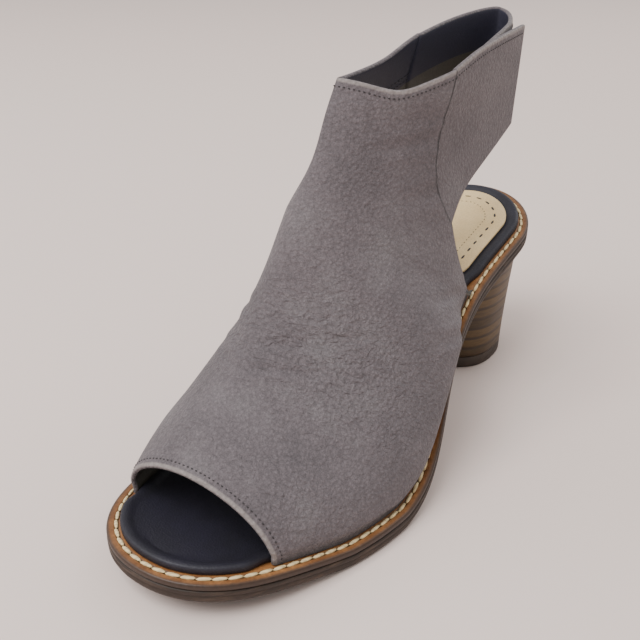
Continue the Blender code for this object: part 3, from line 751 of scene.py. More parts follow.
@dataclass
class SoleUnit:
    """Outsole, welt, footbed and heel sock: one outline and one side profile."""

    length: float = 236 * MM
    ball_width: float = 92 * MM
    seat_height: float = 73 * MM
    gap: float = 0.3 * MM
    outsole_edge: float = 5.0 * MM
    welt_thick: float = 2.4 * MM
    welt_width: float = 9.5 * MM
    welt_reveal: float = 4.4 * MM
    wall: float = 1.8 * MM
    footbed_thick: float = 2.8 * MM
    dish: float = 1.2 * MM
    sock_thick: float = 0.9 * MM
    sock_margin: float = 5.4 * MM
    sock_end: float = 0.46
    cover_start: float = 0.255
    cover_end: float = 0.930
    cover_ease: float = 0.035
    heel_share: float = 0.13
    toe_share: float = 0.28
    toe_fullness: float = 2.3
    toe_root: float = 2.1
    stitch_inset: float = 3.3 * MM
    stations: int = 181
    outlines: tuple = (
        Outline(0.00, 0.325, 0.325), Outline(0.12, 0.341, 0.339), Outline(0.28, 0.335, 0.305),
        Outline(0.45, 0.415, 0.297), Outline(0.60, 0.530, 0.450), Outline(0.72, 0.514, 0.485),
        Outline(0.85, 0.444, 0.470), Outline(1.00, 0.444, 0.500),
    )
    profile: tuple = (
        Profile(0.00, 0.893), Profile(0.15, 0.760), Profile(0.30, 0.613), Profile(0.45, 0.380),
        Profile(0.60, 0.074), Profile(0.68, -0.008), Profile(0.76, -0.006), Profile(0.86, 0.044),
        Profile(1.00, 0.108),
    )

    def __post_init__(self) -> None:
        """Draws the splines through the tables."""
        self.lateral_half = spline(column(self.outlines, "at"), column(self.outlines, "lateral"))
        self.medial_half = spline(column(self.outlines, "at"), column(self.outlines, "medial"))
        self.underside = spline(column(self.profile, "at"), column(self.profile, "rise"))

    def bottom(self, x: np.ndarray) -> np.ndarray:
        """Height of the outsole's underside."""
        return np.maximum(self.underside(np.asarray(x) / self.length) * self.seat_height, 0.0)

    def welt_top(self, x: np.ndarray) -> np.ndarray:
        """Height of the welt's upper face."""
        return self.bottom(x) + self.outsole_edge + self.gap + self.welt_thick

    def loop(self, inset: object) -> np.ndarray:
        """The outline moved inwards.

        Args:
            inset: A distance, or a function of x.

        Returns:
            Points in plan: heel, lateral side, toe, medial side back.
        """
        share = (1 - np.cos(np.linspace(0, pi, self.stations))) / 2
        closing = np.ones(self.stations)
        heel = share < self.heel_share
        closing[heel] = np.sqrt(1 - (1 - share[heel] / self.heel_share)**2)
        toe_start = 1 - self.toe_share
        toe = share > toe_start
        gone = ((share[toe] - toe_start) / self.toe_share)**self.toe_fullness
        closing[toe] = np.clip(1 - gone, 0, 1)**(1 / self.toe_root)
        middle = (self.lateral_half(share) - self.medial_half(share)) * self.ball_width / 2
        half = (self.lateral_half(share) + self.medial_half(share)) * self.ball_width / 2 * closing
        x = share * self.length
        lateral, medial = np.stack([x, middle + half], 1), np.stack([x, middle - half], 1)
        made = np.concatenate([lateral, medial[-2:0:-1]])
        along = np.roll(made, -1, 0) - np.roll(made, 1, 0)
        along /= np.linalg.norm(along, axis=1)[:, None]
        inwards = np.stack([along[:, 1], -along[:, 0]], 1)
        depth = inset(made[:, 0]) if callable(inset) else np.full(len(made), inset)
        return made + depth[:, None] * inwards

    def level(self, inset: object, lift: float) -> np.ndarray:
        """A loop of the outline, lift above the outsole's underside."""
        loop = self.loop(inset)
        return np.column_stack([loop, self.bottom(loop[:, 0]) + lift])

    def sides(self, loop: np.ndarray) -> tuple[np.ndarray, np.ndarray]:
        """The lateral and the medial half of a loop, each from heel to toe."""
        return loop[:self.stations], np.concatenate([loop[self.stations - 1:], loop[:1]])[::-1]

    def edge_lines(self, inset: float) -> tuple[Callable, Callable]:
        """Lateral and medial y of the moved outline, each as a function of x.

        Args:
            inset: How far the outline moves inwards.

        Returns:
            The two functions.
        """
        lateral, medial = self.sides(self.loop(inset))
        return (lambda at: np.interp(at, lateral[:, 0], lateral[:, 1]),
                lambda at: np.interp(at, medial[:, 0], medial[:, 1]))

    def flange_inset(self, x: np.ndarray) -> np.ndarray:
        """The footbed's edge: closer to the welt's edge where no upper stands outside it.

        Args:
            x: Places along the shoe.

        Returns:
            The distance in from the sole's edge.
        """
        share = np.asarray(x) / self.length
        cover = np.clip((share - self.cover_start) / self.cover_ease, 0, 1)
        cover = cover * np.clip((self.cover_end - share) / self.cover_ease, 0, 1)
        return self.welt_reveal + self.gap + (self.wall + self.gap) * smooth(cover)

    def build_outsole(self, finish: bpy.types.Material) -> bpy.types.Object:
        """The outsole, with a rounded lower edge and a fine groove along its side.

        Args:
            finish: Its material.

        Returns:
            The piece.
        """
        top = self.outsole_edge
        rows = ((6.0, 0.0), (2.2, 0.0), (1.3, 0.15), (0.5, 0.7), (0.12, 1.6), (0.05, 2.9), (0.22, 3.15),
                (0.22, 3.35), (0.03, 3.6), (0.0, 4.6), (0.2, 5.0), (6.0, 5.0))
        loops = [self.level(inset * MM, min(lift * MM, top)) for inset, lift in rows]
        return slab(loops).object("outsole_moulded", [finish])

    def build_welt(self, finish: bpy.types.Material) -> bpy.types.Object:
        """The welt, with a groove pressed along its stitches.

        Args:
            finish: Its material.

        Returns:
            The piece.
        """
        base = self.outsole_edge + self.gap
        top = self.welt_thick / MM
        rows = ((0.5, 0.0), (0.2, 0.3), (0.08, 0.8), (0.08, top - 0.8), (0.25, top - 0.3),
                (0.7, top - 0.05), (1.2, top), (2.2, top), (2.6, top - 0.1), (2.9, top - 0.4),
                (3.7, top - 0.4), (4.0, top - 0.1), (4.3, top), (9.5, top), (9.5, 0.0))
        loops = [self.level(inset * MM, base + lift * MM) for inset, lift in rows]
        piece = slab(loops, ring=True).object("welt_strip", [finish])
        # Dark share of each row: ink on the cut side and over its outer top edge, and painted shade down in
        # the stitch groove.
        ink_and_groove_shade = [1, 1, 1, 1, 1, 0.8, 0.35, 0.1, 0.3, 0.9, 0.9, 0.6, 0, 0, 0]
        attribute(piece, "ink_and_groove_shade", np.repeat(ink_and_groove_shade, 2 * self.stations - 2))
        return piece

    def build_welt_stitches(self, finish: bpy.types.Material) -> bpy.types.Object:
        """Thick lockstitches in the welt's groove, end to end.

        Args:
            finish: Its material.

        Returns:
            The piece.
        """
        base = self.outsole_edge + self.gap + self.welt_thick
        path = self.level(self.stitch_inset, base - 0.02 * MM)
        row = StitchRow("welt_stitches", path, 5.6, 4.9, 1.4, 1.05, finish, closed=True, turn=0.08)
        return row.build()

    def build_footbed(self, finish: bpy.types.Material) -> bpy.types.Object:
        """The padded insole with its raised rim and dished middle.

        Args:
            finish: Its material.

        Returns:
            The piece.
        """
        under = self.outsole_edge + self.gap
        flange = under + self.welt_thick + self.gap
        top = flange + self.footbed_thick
        core = self.welt_width + self.gap
        loops = [self.level(core, under), self.level(core, flange)]
        rows = ((0.2, flange), (0.0, flange + 0.4 * MM), (0.0, top - 1.0 * MM), (0.25, top - 0.4 * MM),
                (0.8, top - 0.05 * MM), (1.6, top), (2.6, top - 0.1 * MM), (3.6, top - 0.6 * MM),
                (4.4, top - 1.05 * MM), (5.0, top - self.dish))
        for inset, lift in rows:
            loops.append(self.level(lambda x: self.flange_inset(x) + inset * MM, lift))
        return slab(loops, crown=-0.5 * MM).object("footbed_padded", [finish])

    def sock_loop(self, inset: float, lift: float) -> np.ndarray:
        """The heel sock's outline, cut straight across its front.

        Args:
            inset: How far it moves inwards.
            lift: Its height over the outsole's underside.

        Returns:
            The loop's points.
        """
        loop = self.level(lambda x: self.flange_inset(x) + self.sock_margin + inset, lift)
        lateral, medial = self.sides(loop)
        limit = self.sock_end * self.length
        kept = int((lateral[:, 0] < limit - 2 * MM).sum())
        ends = [
            np.array([limit - inset, np.interp(limit, line[:, 0], line[:, 1]), self.bottom(limit) + lift])
            for line in (lateral, medial)
        ]
        return np.concatenate([lateral[:kept], [ends[0]], [ends[1]], medial[1:kept][::-1]])

    @property
    def bed(self) -> float:
        """Height of the heel sock's underside over the outsole's underside."""
        return self.outsole_edge + 3 * self.gap + self.welt_thick + self.footbed_thick - self.dish

    def build_sock(self, finish: bpy.types.Material) -> bpy.types.Object:
        """The tan heel sock, its edge skived round.

        Args:
            finish: Its material.

        Returns:
            The piece.
        """
        rows = ((0.0, 0.0), (0.0, 0.45), (0.15, 0.75), (0.5, 0.9))
        loops = [self.sock_loop(inset * MM, self.bed + lift * MM) for inset, lift in rows]
        return slab(loops).object("heel_sock_leather", [finish])

    def build_sock_stitches(
        self, bold: bpy.types.Material, fine: bpy.types.Material
    ) -> list[bpy.types.Object]:
        """A bold dashed row near the sock's edge and a fine dotted one inside it.

        Args:
            bold: The dashed row's thread.
            fine: The dotted row's thread.

        Returns:
            The two rows.
        """
        lift = self.bed + self.sock_thick - 0.05 * MM
        pieces = []
        for name, inset, length, pitch, width, finish in (
            ("sock_dashed_stitches", 5.0, 3.3, 5.4, 1.1, bold),
            ("sock_fine_stitches", 9.2, 1.0, 2.1, 0.5, fine),
        ):
            loop = self.sock_loop(inset * MM, lift)
            half = len(loop) // 2
            path = np.concatenate([loop[half + 1:], loop[:half]])
            pieces.append(StitchRow(name, path, length, pitch, width, 0.35, finish).build())
        return pieces


def slab(loops: Sequence[np.ndarray], ring: bool = False, crown: float = 0.0) -> Sheet:
    """A solid lofted through closed loops of one count.

    Args:
        loops: The loops, from the underside upwards.
        ring: Joins the last loop to the first, with no caps.
        crown: How far the top cap's middle stands above its rim.

    Returns:
        The mesh, with quads between the loops.
    """
    count = len(loops[0])
    points = list(loops)
    faces = []
    for level in range(len(loops) if ring else len(loops) - 1):
        low = level * count
        high = (level + 1) % len(loops) * count
        faces += [(low + k, low + (k + 1) % count, high + (k + 1) % count, high + k) for k in range(count)]
    total = len(loops) * count
    if not ring:
        across = 8
        for top in (False, True):
            loop = loops[-1] if top else loops[0]
            first = (len(loops) - 1) * count if top else 0
            rows = []
            for k in range(count // 2 + 1):
                left, right = first + k % count, first + (count - k) % count
                if left == right or k == count // 2 and count % 2 == 0:
                    rows.append([left] * (across + 1))
                    continue
                if k == count // 2:  # An odd loop ends in a straight side, which the wall shares.
                    rows.append([left] * (across // 2) + [right] * (across // 2 + 1))
                    continue
                share = np.linspace(0, 1, across + 1)[1:-1, None]
                inner = loop[k] * (1 - share) + loop[(count - k) % count] * share
                if top:
                    inner[:, 2] += crown * (1 - (2 * share[:, 0] - 1)**4)
                points.append(inner)
                rows.append([left, *range(total, total + len(inner)), right])
                total += len(inner)
            for k in range(len(rows) - 1):
                for a in range(across):
                    quad = (rows[k][a], rows[k][a + 1], rows[k + 1][a + 1], rows[k + 1][a])
                    faces.append(quad if top else quad[::-1])
    return Sheet(np.concatenate(points), np.array(faces), np.zeros(len(faces), int))


def heal(piece: bpy.types.Object) -> None:
    """Drops doubled corners, merges doubles and turns the faces outwards.

    Args:
        piece: The mesh object, changed in place.
    """
    work = bmesh.new()
    work.from_mesh(piece.data)
    bmesh.ops.remove_doubles(work, verts=work.verts, dist=MERGE)
    bmesh.ops.dissolve_degenerate(work, edges=work.edges, dist=MERGE)
    bmesh.ops.recalc_face_normals(work, faces=work.faces)
    work.to_mesh(piece.data)
    work.free()


@dataclass
class Heel:
    """The round stacked heel and its tip."""

    sole: SoleUnit
    tip_thick: float = 5.5 * MM
    length: float = 45 * MM
    half_width: float = 22.8 * MM
    back: float = 5.5 * MM
    top_back: float = 3.8 * MM
    top_half_width: float = 26.4 * MM
    top_length: float = 50 * MM
    squareness: float = 2.4
    flare_power: float = 1.5
    round_steps: int = 128
    rise_steps: int = 25

    def level(self, back: float, length: float, half: float, height: Callable) -> np.ndarray:
        """A rounded-square loop; height is a function of x.

        Args:
            back: Where it starts behind.
            length: How long it is.
            half: Half its width.
            height: Gives z for an array of x.

        Returns:
            The loop's points.
        """
        turn = np.linspace(0, 2 * pi, self.round_steps, endpoint=False)
        bend = 2 / self.squareness
        x = back + length / 2 * (1 - np.sign(np.cos(turn)) * np.abs(np.cos(turn))**bend)
        y = half * np.sign(np.sin(turn)) * np.abs(np.sin(turn))**bend
        return np.column_stack([x, y, height(x)])

    def build_block(self, finish: bpy.types.Material) -> bpy.types.Object:
        """The stacked block, flared a little towards the seat.

        Args:
            finish: Its material.

        Returns:
            The piece.
        """
        loops = []
        gap = self.sole.gap
        for rise in np.linspace(0, 1, self.rise_steps):
            flare = rise**self.flare_power
            back = self.back + (self.top_back - self.back) * flare
            length = self.length + (self.top_length - self.length) * flare
            half = self.half_width + (self.top_half_width - self.half_width) * flare
            base = (self.tip_thick + gap) * (1 - rise)
            loops.append(self.level(back, length, half, lambda x: base + rise * (self.sole.bottom(x) - gap)))
        return slab(loops).object("heel_stack", [finish])

    def build_tip(self, finish: bpy.types.Material) -> bpy.types.Object:
        """The wearing layer, rounded at the floor.

        Args:
            finish: Its material.

        Returns:
            The piece.
        """
        rows = ((4.0, 0), (0.8, 0), (0.3, 0.25), (0.1, 0.7), (0.0, 2.0), (0.0, 5.3), (0.15, 5.5), (4.0, 5.5))
        loops = [
            self.level(self.back + inset * MM, self.length - 2 * inset * MM, self.half_width - inset * MM,
                       lambda x: 0 * x + lift * MM)
            for inset, lift in rows
        ]
        return slab(loops).object("heel_top_piece", [finish])


@dataclass
class Upper:
    """Vamp, quarters, tab and ankle strap: one shell over the last's sections."""

    sole: SoleUnit
    throat_height: float = 142.6 * MM
    wall: float = 1.8 * MM
    seam_step: float = 0.5 * MM
    seam_ramp: float = 0.9 * MM
    foot_lift: float = 0.2 * MM
    feather_rise: float = 1.6 * MM
    feather_ease: float = 4.4 * MM
    pad_thick: float = 1.6 * MM
    tab_end_y: float = 18 * MM
    tab_bow: float = 1.2 * MM
    strap_ease: float = 1.5 * MM
    strap_end_round: float = 9 * MM
    foot_row: int = 5
    throat_row: int = 8
    feather_steps: int = 105
    cut_steps: int = 30
    seam_steps: int = 48
    turn_steps: int = 84
    tab_steps: int = 54
    strap_steps: int = 150
    seam_marks: int = 40
    tab_marks: int = 61
    strap_row: float = 4.0
    strap_round_from: float = 1.2
    strap_step_end: float = 0.95
    strap_step_run: float = 0.2
    crease_turn_rows: int = 4
    ridge_share: float = 0.55
    ridge_off: float = 1.6
    ridge_sharpness: float = 1.6
    flex_row: float = 2.8
    flex_rows: float = 0.9
    flex_turn: float = 0.25
    flex_turns: float = 0.38
    toe_row: float = 0.7
    toe_rows: float = 0.5
    calm_flex: float = 0.3
    foot_bulge: float = 0.12
    edge_bulge: float = 0.42
    rim_turns: tuple = (0.25, 0.5, 0.75)
    edge_stitch_mm: float = 2.4
    lining_stitch_mm: tuple = (14.4, 16.6)

    sections: tuple = (
        Section(0.890, 0.240, -0.033, 0.881, None, None, None, 1.00,
                0.004, 0.90, 0.50, 2.2, 0.004, 0.90, 0.50, 2.2),
        Section(0.825, 0.294, -0.070, 0.754, None, None, None, 1.00,
                0.016, 0.86, 0.60, 2.2, 0.008, 0.88, 0.58, 2.2),
        Section(0.752, 0.355, -0.110, 0.620, None, None, None, 1.00,
                0.050, 0.82, 0.66, 2.2, 0.012, 0.85, 0.64, 2.2),
        Section(0.680, 0.460, -0.130, 0.490, None, None, None, 1.00,
                0.115, 0.78, 0.62, 2.2, 0.030, 0.80, 0.60, 2.2),
        Section(0.636, 0.595, -0.120, 0.390, None, None, None, 1.00,
                0.135, 0.74, 0.57, 2.0, 0.015, 0.75, 0.60, 2.0),
        Section(0.598, 0.720, -0.108, 0.314, None, None, None, 1.00,
                0.055, 0.68, 0.53, 1.9, 0.000, 0.75, 0.58, 2.0),
        Section(0.560, 0.830, -0.103, 0.186, 0.590, 0.010, 0.110, 0.75,
                0.170, 0.55, 0.52, 1.6, 0.020, 0.75, 0.70, 2.0),
        Section(0.534, 0.925, -0.098, 0.055, 0.825, 0.010, 0.000, 0.50,
                0.290, 0.45, 0.55, 1.2, 0.085, 0.78, 0.90, 2.0),
        Section(0.513, 1.000, -0.087, 0.040, 1.078, 0.015, 0.000, 0.50,
                0.290, 0.40, 0.58, 1.1, 0.066, 0.80, 1.10, 2.2),
        Section(0.502, 1.050, -0.082, 0.036, 1.165, 0.015, 0.000, 0.50,
                0.290, 0.40, 0.60, 1.1, 0.060, 0.80, 1.20, 2.2),
    )
    collar: tuple = (
        (Mark(0.513, 1.000), Mark(0.498, 0.989), Mark(0.470, 0.972), Mark(0.431, 0.981),
         Mark(0.400, 0.993), Mark(0.371, 1.003)),
        (Mark(0.513, 1.000), Mark(0.483, 1.000), Mark(0.435, 1.002), Mark(0.364, 1.015),
         Mark(0.320, 1.035), Mark(0.280, 1.050)),
    )
    rear_cut: tuple = (
        (Mark(0.307, None), Mark(0.340, 0.450), Mark(0.362, 0.540), Mark(0.370, 0.605)),
        (Mark(0.330, None), Mark(0.340, 0.455), Mark(0.332, 0.550), Mark(0.312, 0.630)),
    )
    seam: tuple = (
        (Mark(0.370, 0.605), Mark(0.402, 0.720), Mark(0.392, 0.870), Mark(0.371, 1.003)),
        (Mark(0.312, 0.630), Mark(0.306, 0.730), Mark(0.300, 0.870), Mark(0.280, 1.050)),
    )
    tab_top: tuple = (Mark(0.371, 1.003), Mark(0.300, 1.030), Mark(0.220, 1.045), Mark(0.092, 1.052))
    tab_foot: tuple = (Mark(0.370, 0.605), Mark(0.326, 0.660), Mark(0.237, 0.715), Mark(0.106, 0.780))
    strap_top: tuple = (
        Edge(-1, 0.280, 1.050), Edge(-1, 0.193, 1.068), Edge(-1, 0.111, 1.078), Edge(0, None, 1.080),
        Edge(1, 0.070, 1.066), Edge(1, 0.200, 1.036), Edge(1, 0.350, 0.990),
    )
    strap_foot: tuple = (
        Edge(-1, 0.312, 0.630), Edge(-1, 0.271, 0.712), Edge(-1, 0.225, 0.771), Edge(-1, 0.110, 0.803),
        Edge(0, None, 0.822), Edge(1, 0.072, 0.815), Edge(1, 0.210, 0.780), Edge(1, 0.350, 0.755),
    )
    creases: tuple = (
        Crease(1, 2.62, 0.02, 3.10, 0.30, 0.70, 0.085),
        Crease(1, 2.22, 0.03, 2.62, 0.27, 0.55, 0.070),
        Crease(1, 2.95, 0.12, 3.30, 0.36, 0.50, 0.080),
        Crease(-1, 2.50, 0.03, 3.00, 0.36, 0.42, 0.085),
        Crease(-1, 2.72, 0.10, 3.25, 0.44, 0.36, 0.075),
        Crease(-1, 3.02, 0.08, 3.50, 0.42, 0.34, 0.085),
        Crease(-1, 2.20, 0.05, 2.62, 0.32, 0.32, 0.070),
        Crease(1, 3.60, 0.55, 4.30, 0.86, 0.60, 0.120),
        Crease(1, 4.30, 0.52, 5.10, 0.80, 0.50, 0.110),
        Crease(-1, 3.70, 0.50, 4.50, 0.84, 0.60, 0.130),
        Crease(1, 5.60, 0.34, 6.30, 0.60, 0.45, 0.120),
        Crease(1, 6.30, 0.20, 6.90, 0.50, 0.45, 0.130),
        Crease(-1, 6.20, 0.18, 6.90, 0.52, 0.45, 0.130),
    )

    def __post_init__(self) -> None:
        """Draws the splines through the sections."""
        rows = np.arange(len(self.sections))
        self.lateral, self.medial = self.sole.edge_lines(self.sole.welt_reveal)
        end = []
        for section in self.sections:
            x = section.end_x * self.sole.length
            if section.end_z is None:
                end.append((x, *self.on_welt(x)))
            else:
                end.append((x, section.end_y * self.sole.ball_width, section.end_z * self.throat_height,
                            section.end_half * self.sole.ball_width))
        end = np.array(end)
        scales = {
            "ridge_x": self.sole.length, "ridge_y": self.sole.ball_width, "ridge_z": self.throat_height,
        }
        self.ridge_lines = [
            spline(rows, np.array(column(self.sections, name)) * scale) for name, scale in scales.items()
        ]
        self.end_lines = [spline(rows, end[:, k]) for k in range(3)]
        self.half_line = spline(rows, end[:, 3])
        self.close = spline(rows, column(self.sections, "close"))
        keys = ("swell", "wide", "nose", "tail")
        self.shape = {
            side: [spline(rows, column(self.sections, name + key)) for key in keys]
            for side, name in ((1, "lat_"), (-1, "med_"))
        }
        self.seam_line = None
        self.nets = []
        self.surface = None

    def on_welt(self, x: float) -> tuple:
        """Middle, height and half width of the upper's foot on the welt at x.

        Args:
            x: Place along the shoe.

        Returns:
            The three values.
        """
        outer, inner = self.lateral(x), self.medial(x)
        height = self.sole.welt_top(x) + self.sole.gap + self.foot_lift
        return (outer + inner) / 2, height, (outer - inner) / 2

    def ridge(self, row: np.ndarray) -> np.ndarray:
        """Points of the instep's ridge."""
        return np.stack([line(row) for line in self.ridge_lines], -1)

    def end(self, row: np.ndarray) -> np.ndarray:
        """Middle points of the sections' ends.

        Args:
            row: Section numbers.

        Returns:
            The points.
        """
        at = np.stack([line(row) for line in self.end_lines], -1)
        middle, height, _ = self.on_welt(at[..., 0])
        welted = np.asarray(row) <= self.foot_row
        at[..., 1] = np.where(welted, middle, at[..., 1])
        at[..., 2] = np.where(welted, height, at[..., 2])
        return at

    def end_half(self, row: np.ndarray) -> np.ndarray:
        """Half widths of the sections' ends."""
        half = self.on_welt(self.end_lines[0](row))[2]
        return np.where(np.asarray(row) <= self.foot_row, half, np.maximum(self.half_line(row), 0))

    def point(self, row: np.ndarray, turn: np.ndarray, side: int) -> np.ndarray:
        """Points of the outer surface.

        Args:
            row: Section numbers.
            turn: From 0 on the ridge to pi at the section's end.
            side: 1 lateral, -1 medial.

        Returns:
            The points.
        """
        row, turn = np.broadcast_arrays(np.asarray(row, float), np.asarray(turn, float))
        t = (1 - np.cos(turn)) / 2
        half = self.end_half(row)
        swell, wide_at, nose, tail = (line(row) for line in self.shape[side])
        widest = half + swell * self.sole.ball_width
        front = np.clip(t / wide_at, 0, 1)
        back = np.clip((t - wide_at) / (1 - wide_at), 0, 1)
        growing = widest * (1 - (1 - front)**2)**nose
        closing = half + (widest - half) * (1 - back**tail)**np.clip(self.close(row), 0.5, 1)
        ridge = self.ridge(row)
        at = ridge + (self.end(row) - ridge) * t[..., None]
        at[..., 1] += side * np.where(t < wide_at, growing, closing)
        return at

    def row_at_height(self, turn: np.ndarray, z: np.ndarray) -> np.ndarray:
        """The row whose point at this turn has this height.

        Args:
            turn: Turns round the section.
            z: Heights.

        Returns:
            The section numbers.
        """
        t = (1 - np.cos(turn)) / 2
        return halve(lambda row: self.ridge_lines[2](row) * (1 - t) + self.end_lines[2](row) * t < z,
                     self.strap_row, len(self.sections) - 1.0, np.shape(z))

    def locate(self, x: np.ndarray, z: np.ndarray) -> tuple[np.ndarray, np.ndarray]:
        """Row and turn of the points at x, z in the side view.

        Args:
            x: Places along the shoe.
            z: Heights.

        Returns:
            The rows and the turns.
        """
        def above(row: np.ndarray) -> np.ndarray:
            """Whether each point lies above its section's line.

            Args:
                row: Section numbers.

            Returns:
                True where it does.
            """
            ridge, end = self.ridge(row), self.end(row)
            return ((z - ridge[..., 2]) * (ridge[..., 0] - end[..., 0])
                    - (x - ridge[..., 0]) * (ridge[..., 2] - end[..., 2])) > 0

        row = halve(above, 0.0, len(self.sections) - 1.0, np.shape(x))
        ridge, end = self.ridge(row), self.end(row)
        t = np.clip((x - ridge[..., 0]) / (end[..., 0] - ridge[..., 0]), 0, 1)
        return row, np.arccos(1 - 2 * t)

    def marks_line(self, marks: Sequence[Mark], count: int) -> tuple[np.ndarray, np.ndarray]:
        """x and z at even steps along a smooth line through the marks.

        Args:
            marks: The marks in order.
            count: How many points.

        Returns:
            The x and the z values.
        """
        x = np.array(column(marks, "x")) * self.sole.length
        z = np.array([
            self.sole.welt_top(a) + self.sole.gap if mark.z is None else mark.z * self.throat_height
            for mark, a in zip(marks, x)
        ])
        way = np.concatenate([[0], np.cumsum(np.hypot(np.diff(x), np.diff(z)))])
        at = np.linspace(0, way[-1], count)
        return spline(way, x)(at), spline(way, z)(at)

    def body_net(self, side: Side) -> tuple[np.ndarray, np.ndarray]:
        """The vamp and quarter of one side: rows from the toe edge up, columns from the ridge down.

        Args:
            side: Which side.

        Returns:
            The points, and the row and turn of each.
        """
        k = 0 if side is Side.LATERAL else 1
        cut = np.stack(self.locate(*self.marks_line(self.rear_cut[k], self.cut_steps + 1)), -1)
        seam = np.stack(self.locate(*self.marks_line(self.seam[k], self.seam_steps + 1)), -1)
        collar = np.stack(self.locate(*self.marks_line(self.collar[k], self.turn_steps + 1)), -1)
        cut[0, 1] = pi
        feather = np.stack([np.linspace(0, cut[0, 0], self.feather_steps + 1),
                            np.full(self.feather_steps + 1, pi)], -1)
        outer = np.concatenate([feather, cut[1:], seam[1:]])
        rise = np.linspace(0, 1, self.feather_steps + 1) * self.foot_row
        over = np.linspace(self.foot_row, self.throat_row, self.cut_steps + self.seam_steps + 1)
        ridge = np.concatenate([rise, over[1:]])
        ridge = np.stack([ridge, np.zeros(len(ridge))], -1)
        toe = np.stack([np.zeros(self.turn_steps + 1), np.linspace(0, pi, self.turn_steps + 1)], -1)
        net = coons(toe, collar, ridge, outer)
        at = self.point(net[..., 0], net[..., 1], side.value)
        standing = slice(0, self.feather_steps + 1)
        part = at[standing]
        foot = part[:, -1:]
        away = np.linalg.norm(part - foot, axis=-1)[..., None]
        ease = smooth(np.clip((away - self.feather_rise) / self.feather_ease, 0, 1))
        at[standing] = foot + (part - foot) * ease + away * (1 - ease) * np.array([0.0, 0.0, 1.0])
        return at, net

    def tab_y(self, x: np.ndarray, z: np.ndarray) -> np.ndarray:
        """How far outwards the tab's outer face stands.

        Args:
            x: Places along the shoe.
            z: Heights.

        Returns:
            The y values.
        """
        if self.seam_line is None:
            self.seam_line = self.point(*self.locate(*self.marks_line(self.seam[0], self.seam_marks)), 1)
        front = self.seam_line
        start = np.interp(z, front[:, 2], front[:, 0])
        side = np.interp(z, front[:, 2], front[:, 1])
        end = self.tab_top[-1].x * self.sole.length
        u = np.clip((start - x) / (start - end), 0, 1.1)
        step = self.seam_step * np.clip((start - x) / self.seam_ramp, 0, 1)
        return side * (1 - u) + self.tab_end_y * u + 4 * self.tab_bow * u * (1 - u) - step

    def tab_place(self, along: np.ndarray, height: np.ndarray) -> np.ndarray:
        """Points of the tab for shares of the way from seam to end and from foot to top.

        Args:
            along: Shares from seam to end.
            height: Shares from foot to top.

        Returns:
            The points.
        """
        seam = self.marks_line(self.seam[0], self.seam_steps + 1)
        foot = self.marks_line(self.tab_foot, self.tab_marks)
        top = self.marks_line(self.tab_top, self.tab_marks)
        share = np.linspace(0, 1, self.tab_marks)
        ways = np.linspace(0, 1, self.seam_steps + 1)
        ends = []
        for k in (0, 1):
            low = np.interp(along, share, foot[k])
            high = np.interp(along, share, top[k])
            first = np.interp(height, ways, seam[k])
            last = foot[k][-1] * (1 - height) + top[k][-1] * height
            corners = (foot[k][0] * (1 - height) + top[k][0] * height) * (1 - along) + last * along
            ends.append(low * (1 - height) + high * height + first * (1 - along) + last * along - corners)
        return np.stack([ends[0], self.tab_y(ends[0], ends[1]), ends[1]], -1)

    def tab_net(self, seam: np.ndarray) -> np.ndarray:
        """The tab, from the lateral seam to its loose end.

        Args:
            seam: The lateral seam's points.

        Returns:
            The grid of points.
        """
        step = self.seam_ramp / ((self.tab_top[0].x - self.tab_top[-1].x) * self.sole.length)
        along = np.concatenate([[0, step / 2, step], np.linspace(0, 1, self.tab_steps + 1)[1:]])[:, None]
        height = np.linspace(0, 1, self.seam_steps + 1)[None]
        at = self.tab_place(*np.broadcast_arrays(along, height))
        at[0] = seam
        return at

    def strap_line(self, edges: Sequence[Edge], count: int) -> np.ndarray:
        """Way round the ankle (medial below 1, back 1, lateral above) and height of a strap edge.

        Args:
            edges: The edge's marks.
            count: How many points.

        Returns:
            Pairs of way and height.
        """
        ways = []
        for edge in edges:
            if edge.side:
                x, z = edge.x * self.sole.length, edge.z * self.throat_height
                turn = self.locate(np.array([x]), np.array([z]))[1][0]
                ways.append(turn / pi if edge.side < 0 else 2 - turn / pi)
            else:
                ways.append(1.0)
        heights = np.array(column(edges, "z")) * self.throat_height
        run = np.hypot(np.diff(ways) * self.sole.length / 2, np.diff(heights))
        run = np.concatenate([[0], np.cumsum(run)])
        at = np.linspace(0, run[-1], count)
        return np.stack([spline(run, ways)(at), spline(run, heights)(at)], -1)

    def strap_net(self, seam: np.ndarray) -> np.ndarray:
        """The strap from the medial seam, round the back, to its round end inside the tab.

        Args:
            seam: The medial seam's points.

        Returns:
            The grid of points.
        """
        marks = self.marks_line(self.seam[1], self.seam_steps + 1)
        front = np.stack([self.locate(*marks)[1] / pi, marks[1]], -1)
        foot = self.strap_line(self.strap_foot, self.strap_steps + 1)
        top = self.strap_line(self.strap_top, self.strap_steps + 1)
        height = np.linspace(0, 1, self.seam_steps + 1)[:, None]
        end = foot[-1] * (1 - height) + top[-1] * height
        net = coons(front, end, foot, top)
        way, z = net[..., 0], net[..., 1]
        side = np.where(way > 1, 1, -1)
        turn = np.where(way > 1, 2 - way, way) * pi
        row = self.row_at_height(turn, z)
        at = np.where(side[..., None] > 0, self.point(row, turn, 1), self.point(row, turn, -1))
        corner = np.abs(2 * height[:, 0] - 1)**3 * self.strap_end_round
        late = np.clip((way - self.strap_round_from) / (way[-1:] - self.strap_round_from), 0, 1)**2
        at[..., 0] -= late * corner
        inside = self.tab_y(at[..., 0], at[..., 2]) - self.wall - self.pad_thick - 2 * self.sole.gap
        apart = at[..., 1] - inside
        tucked = (at[..., 1] + inside - np.sqrt(apart**2 + self.strap_ease**2)) / 2
        outside = self.seam_step * np.clip((self.strap_step_end - way) / self.strap_step_run, 0, 1)
        at[..., 1] = np.where(way > 1, tucked, at[..., 1] + outside)
        at[0] = seam
        part = self.seam_ramp / np.linalg.norm(at[1] - at[0], axis=1)[:, None]
        if (part > 1).any():
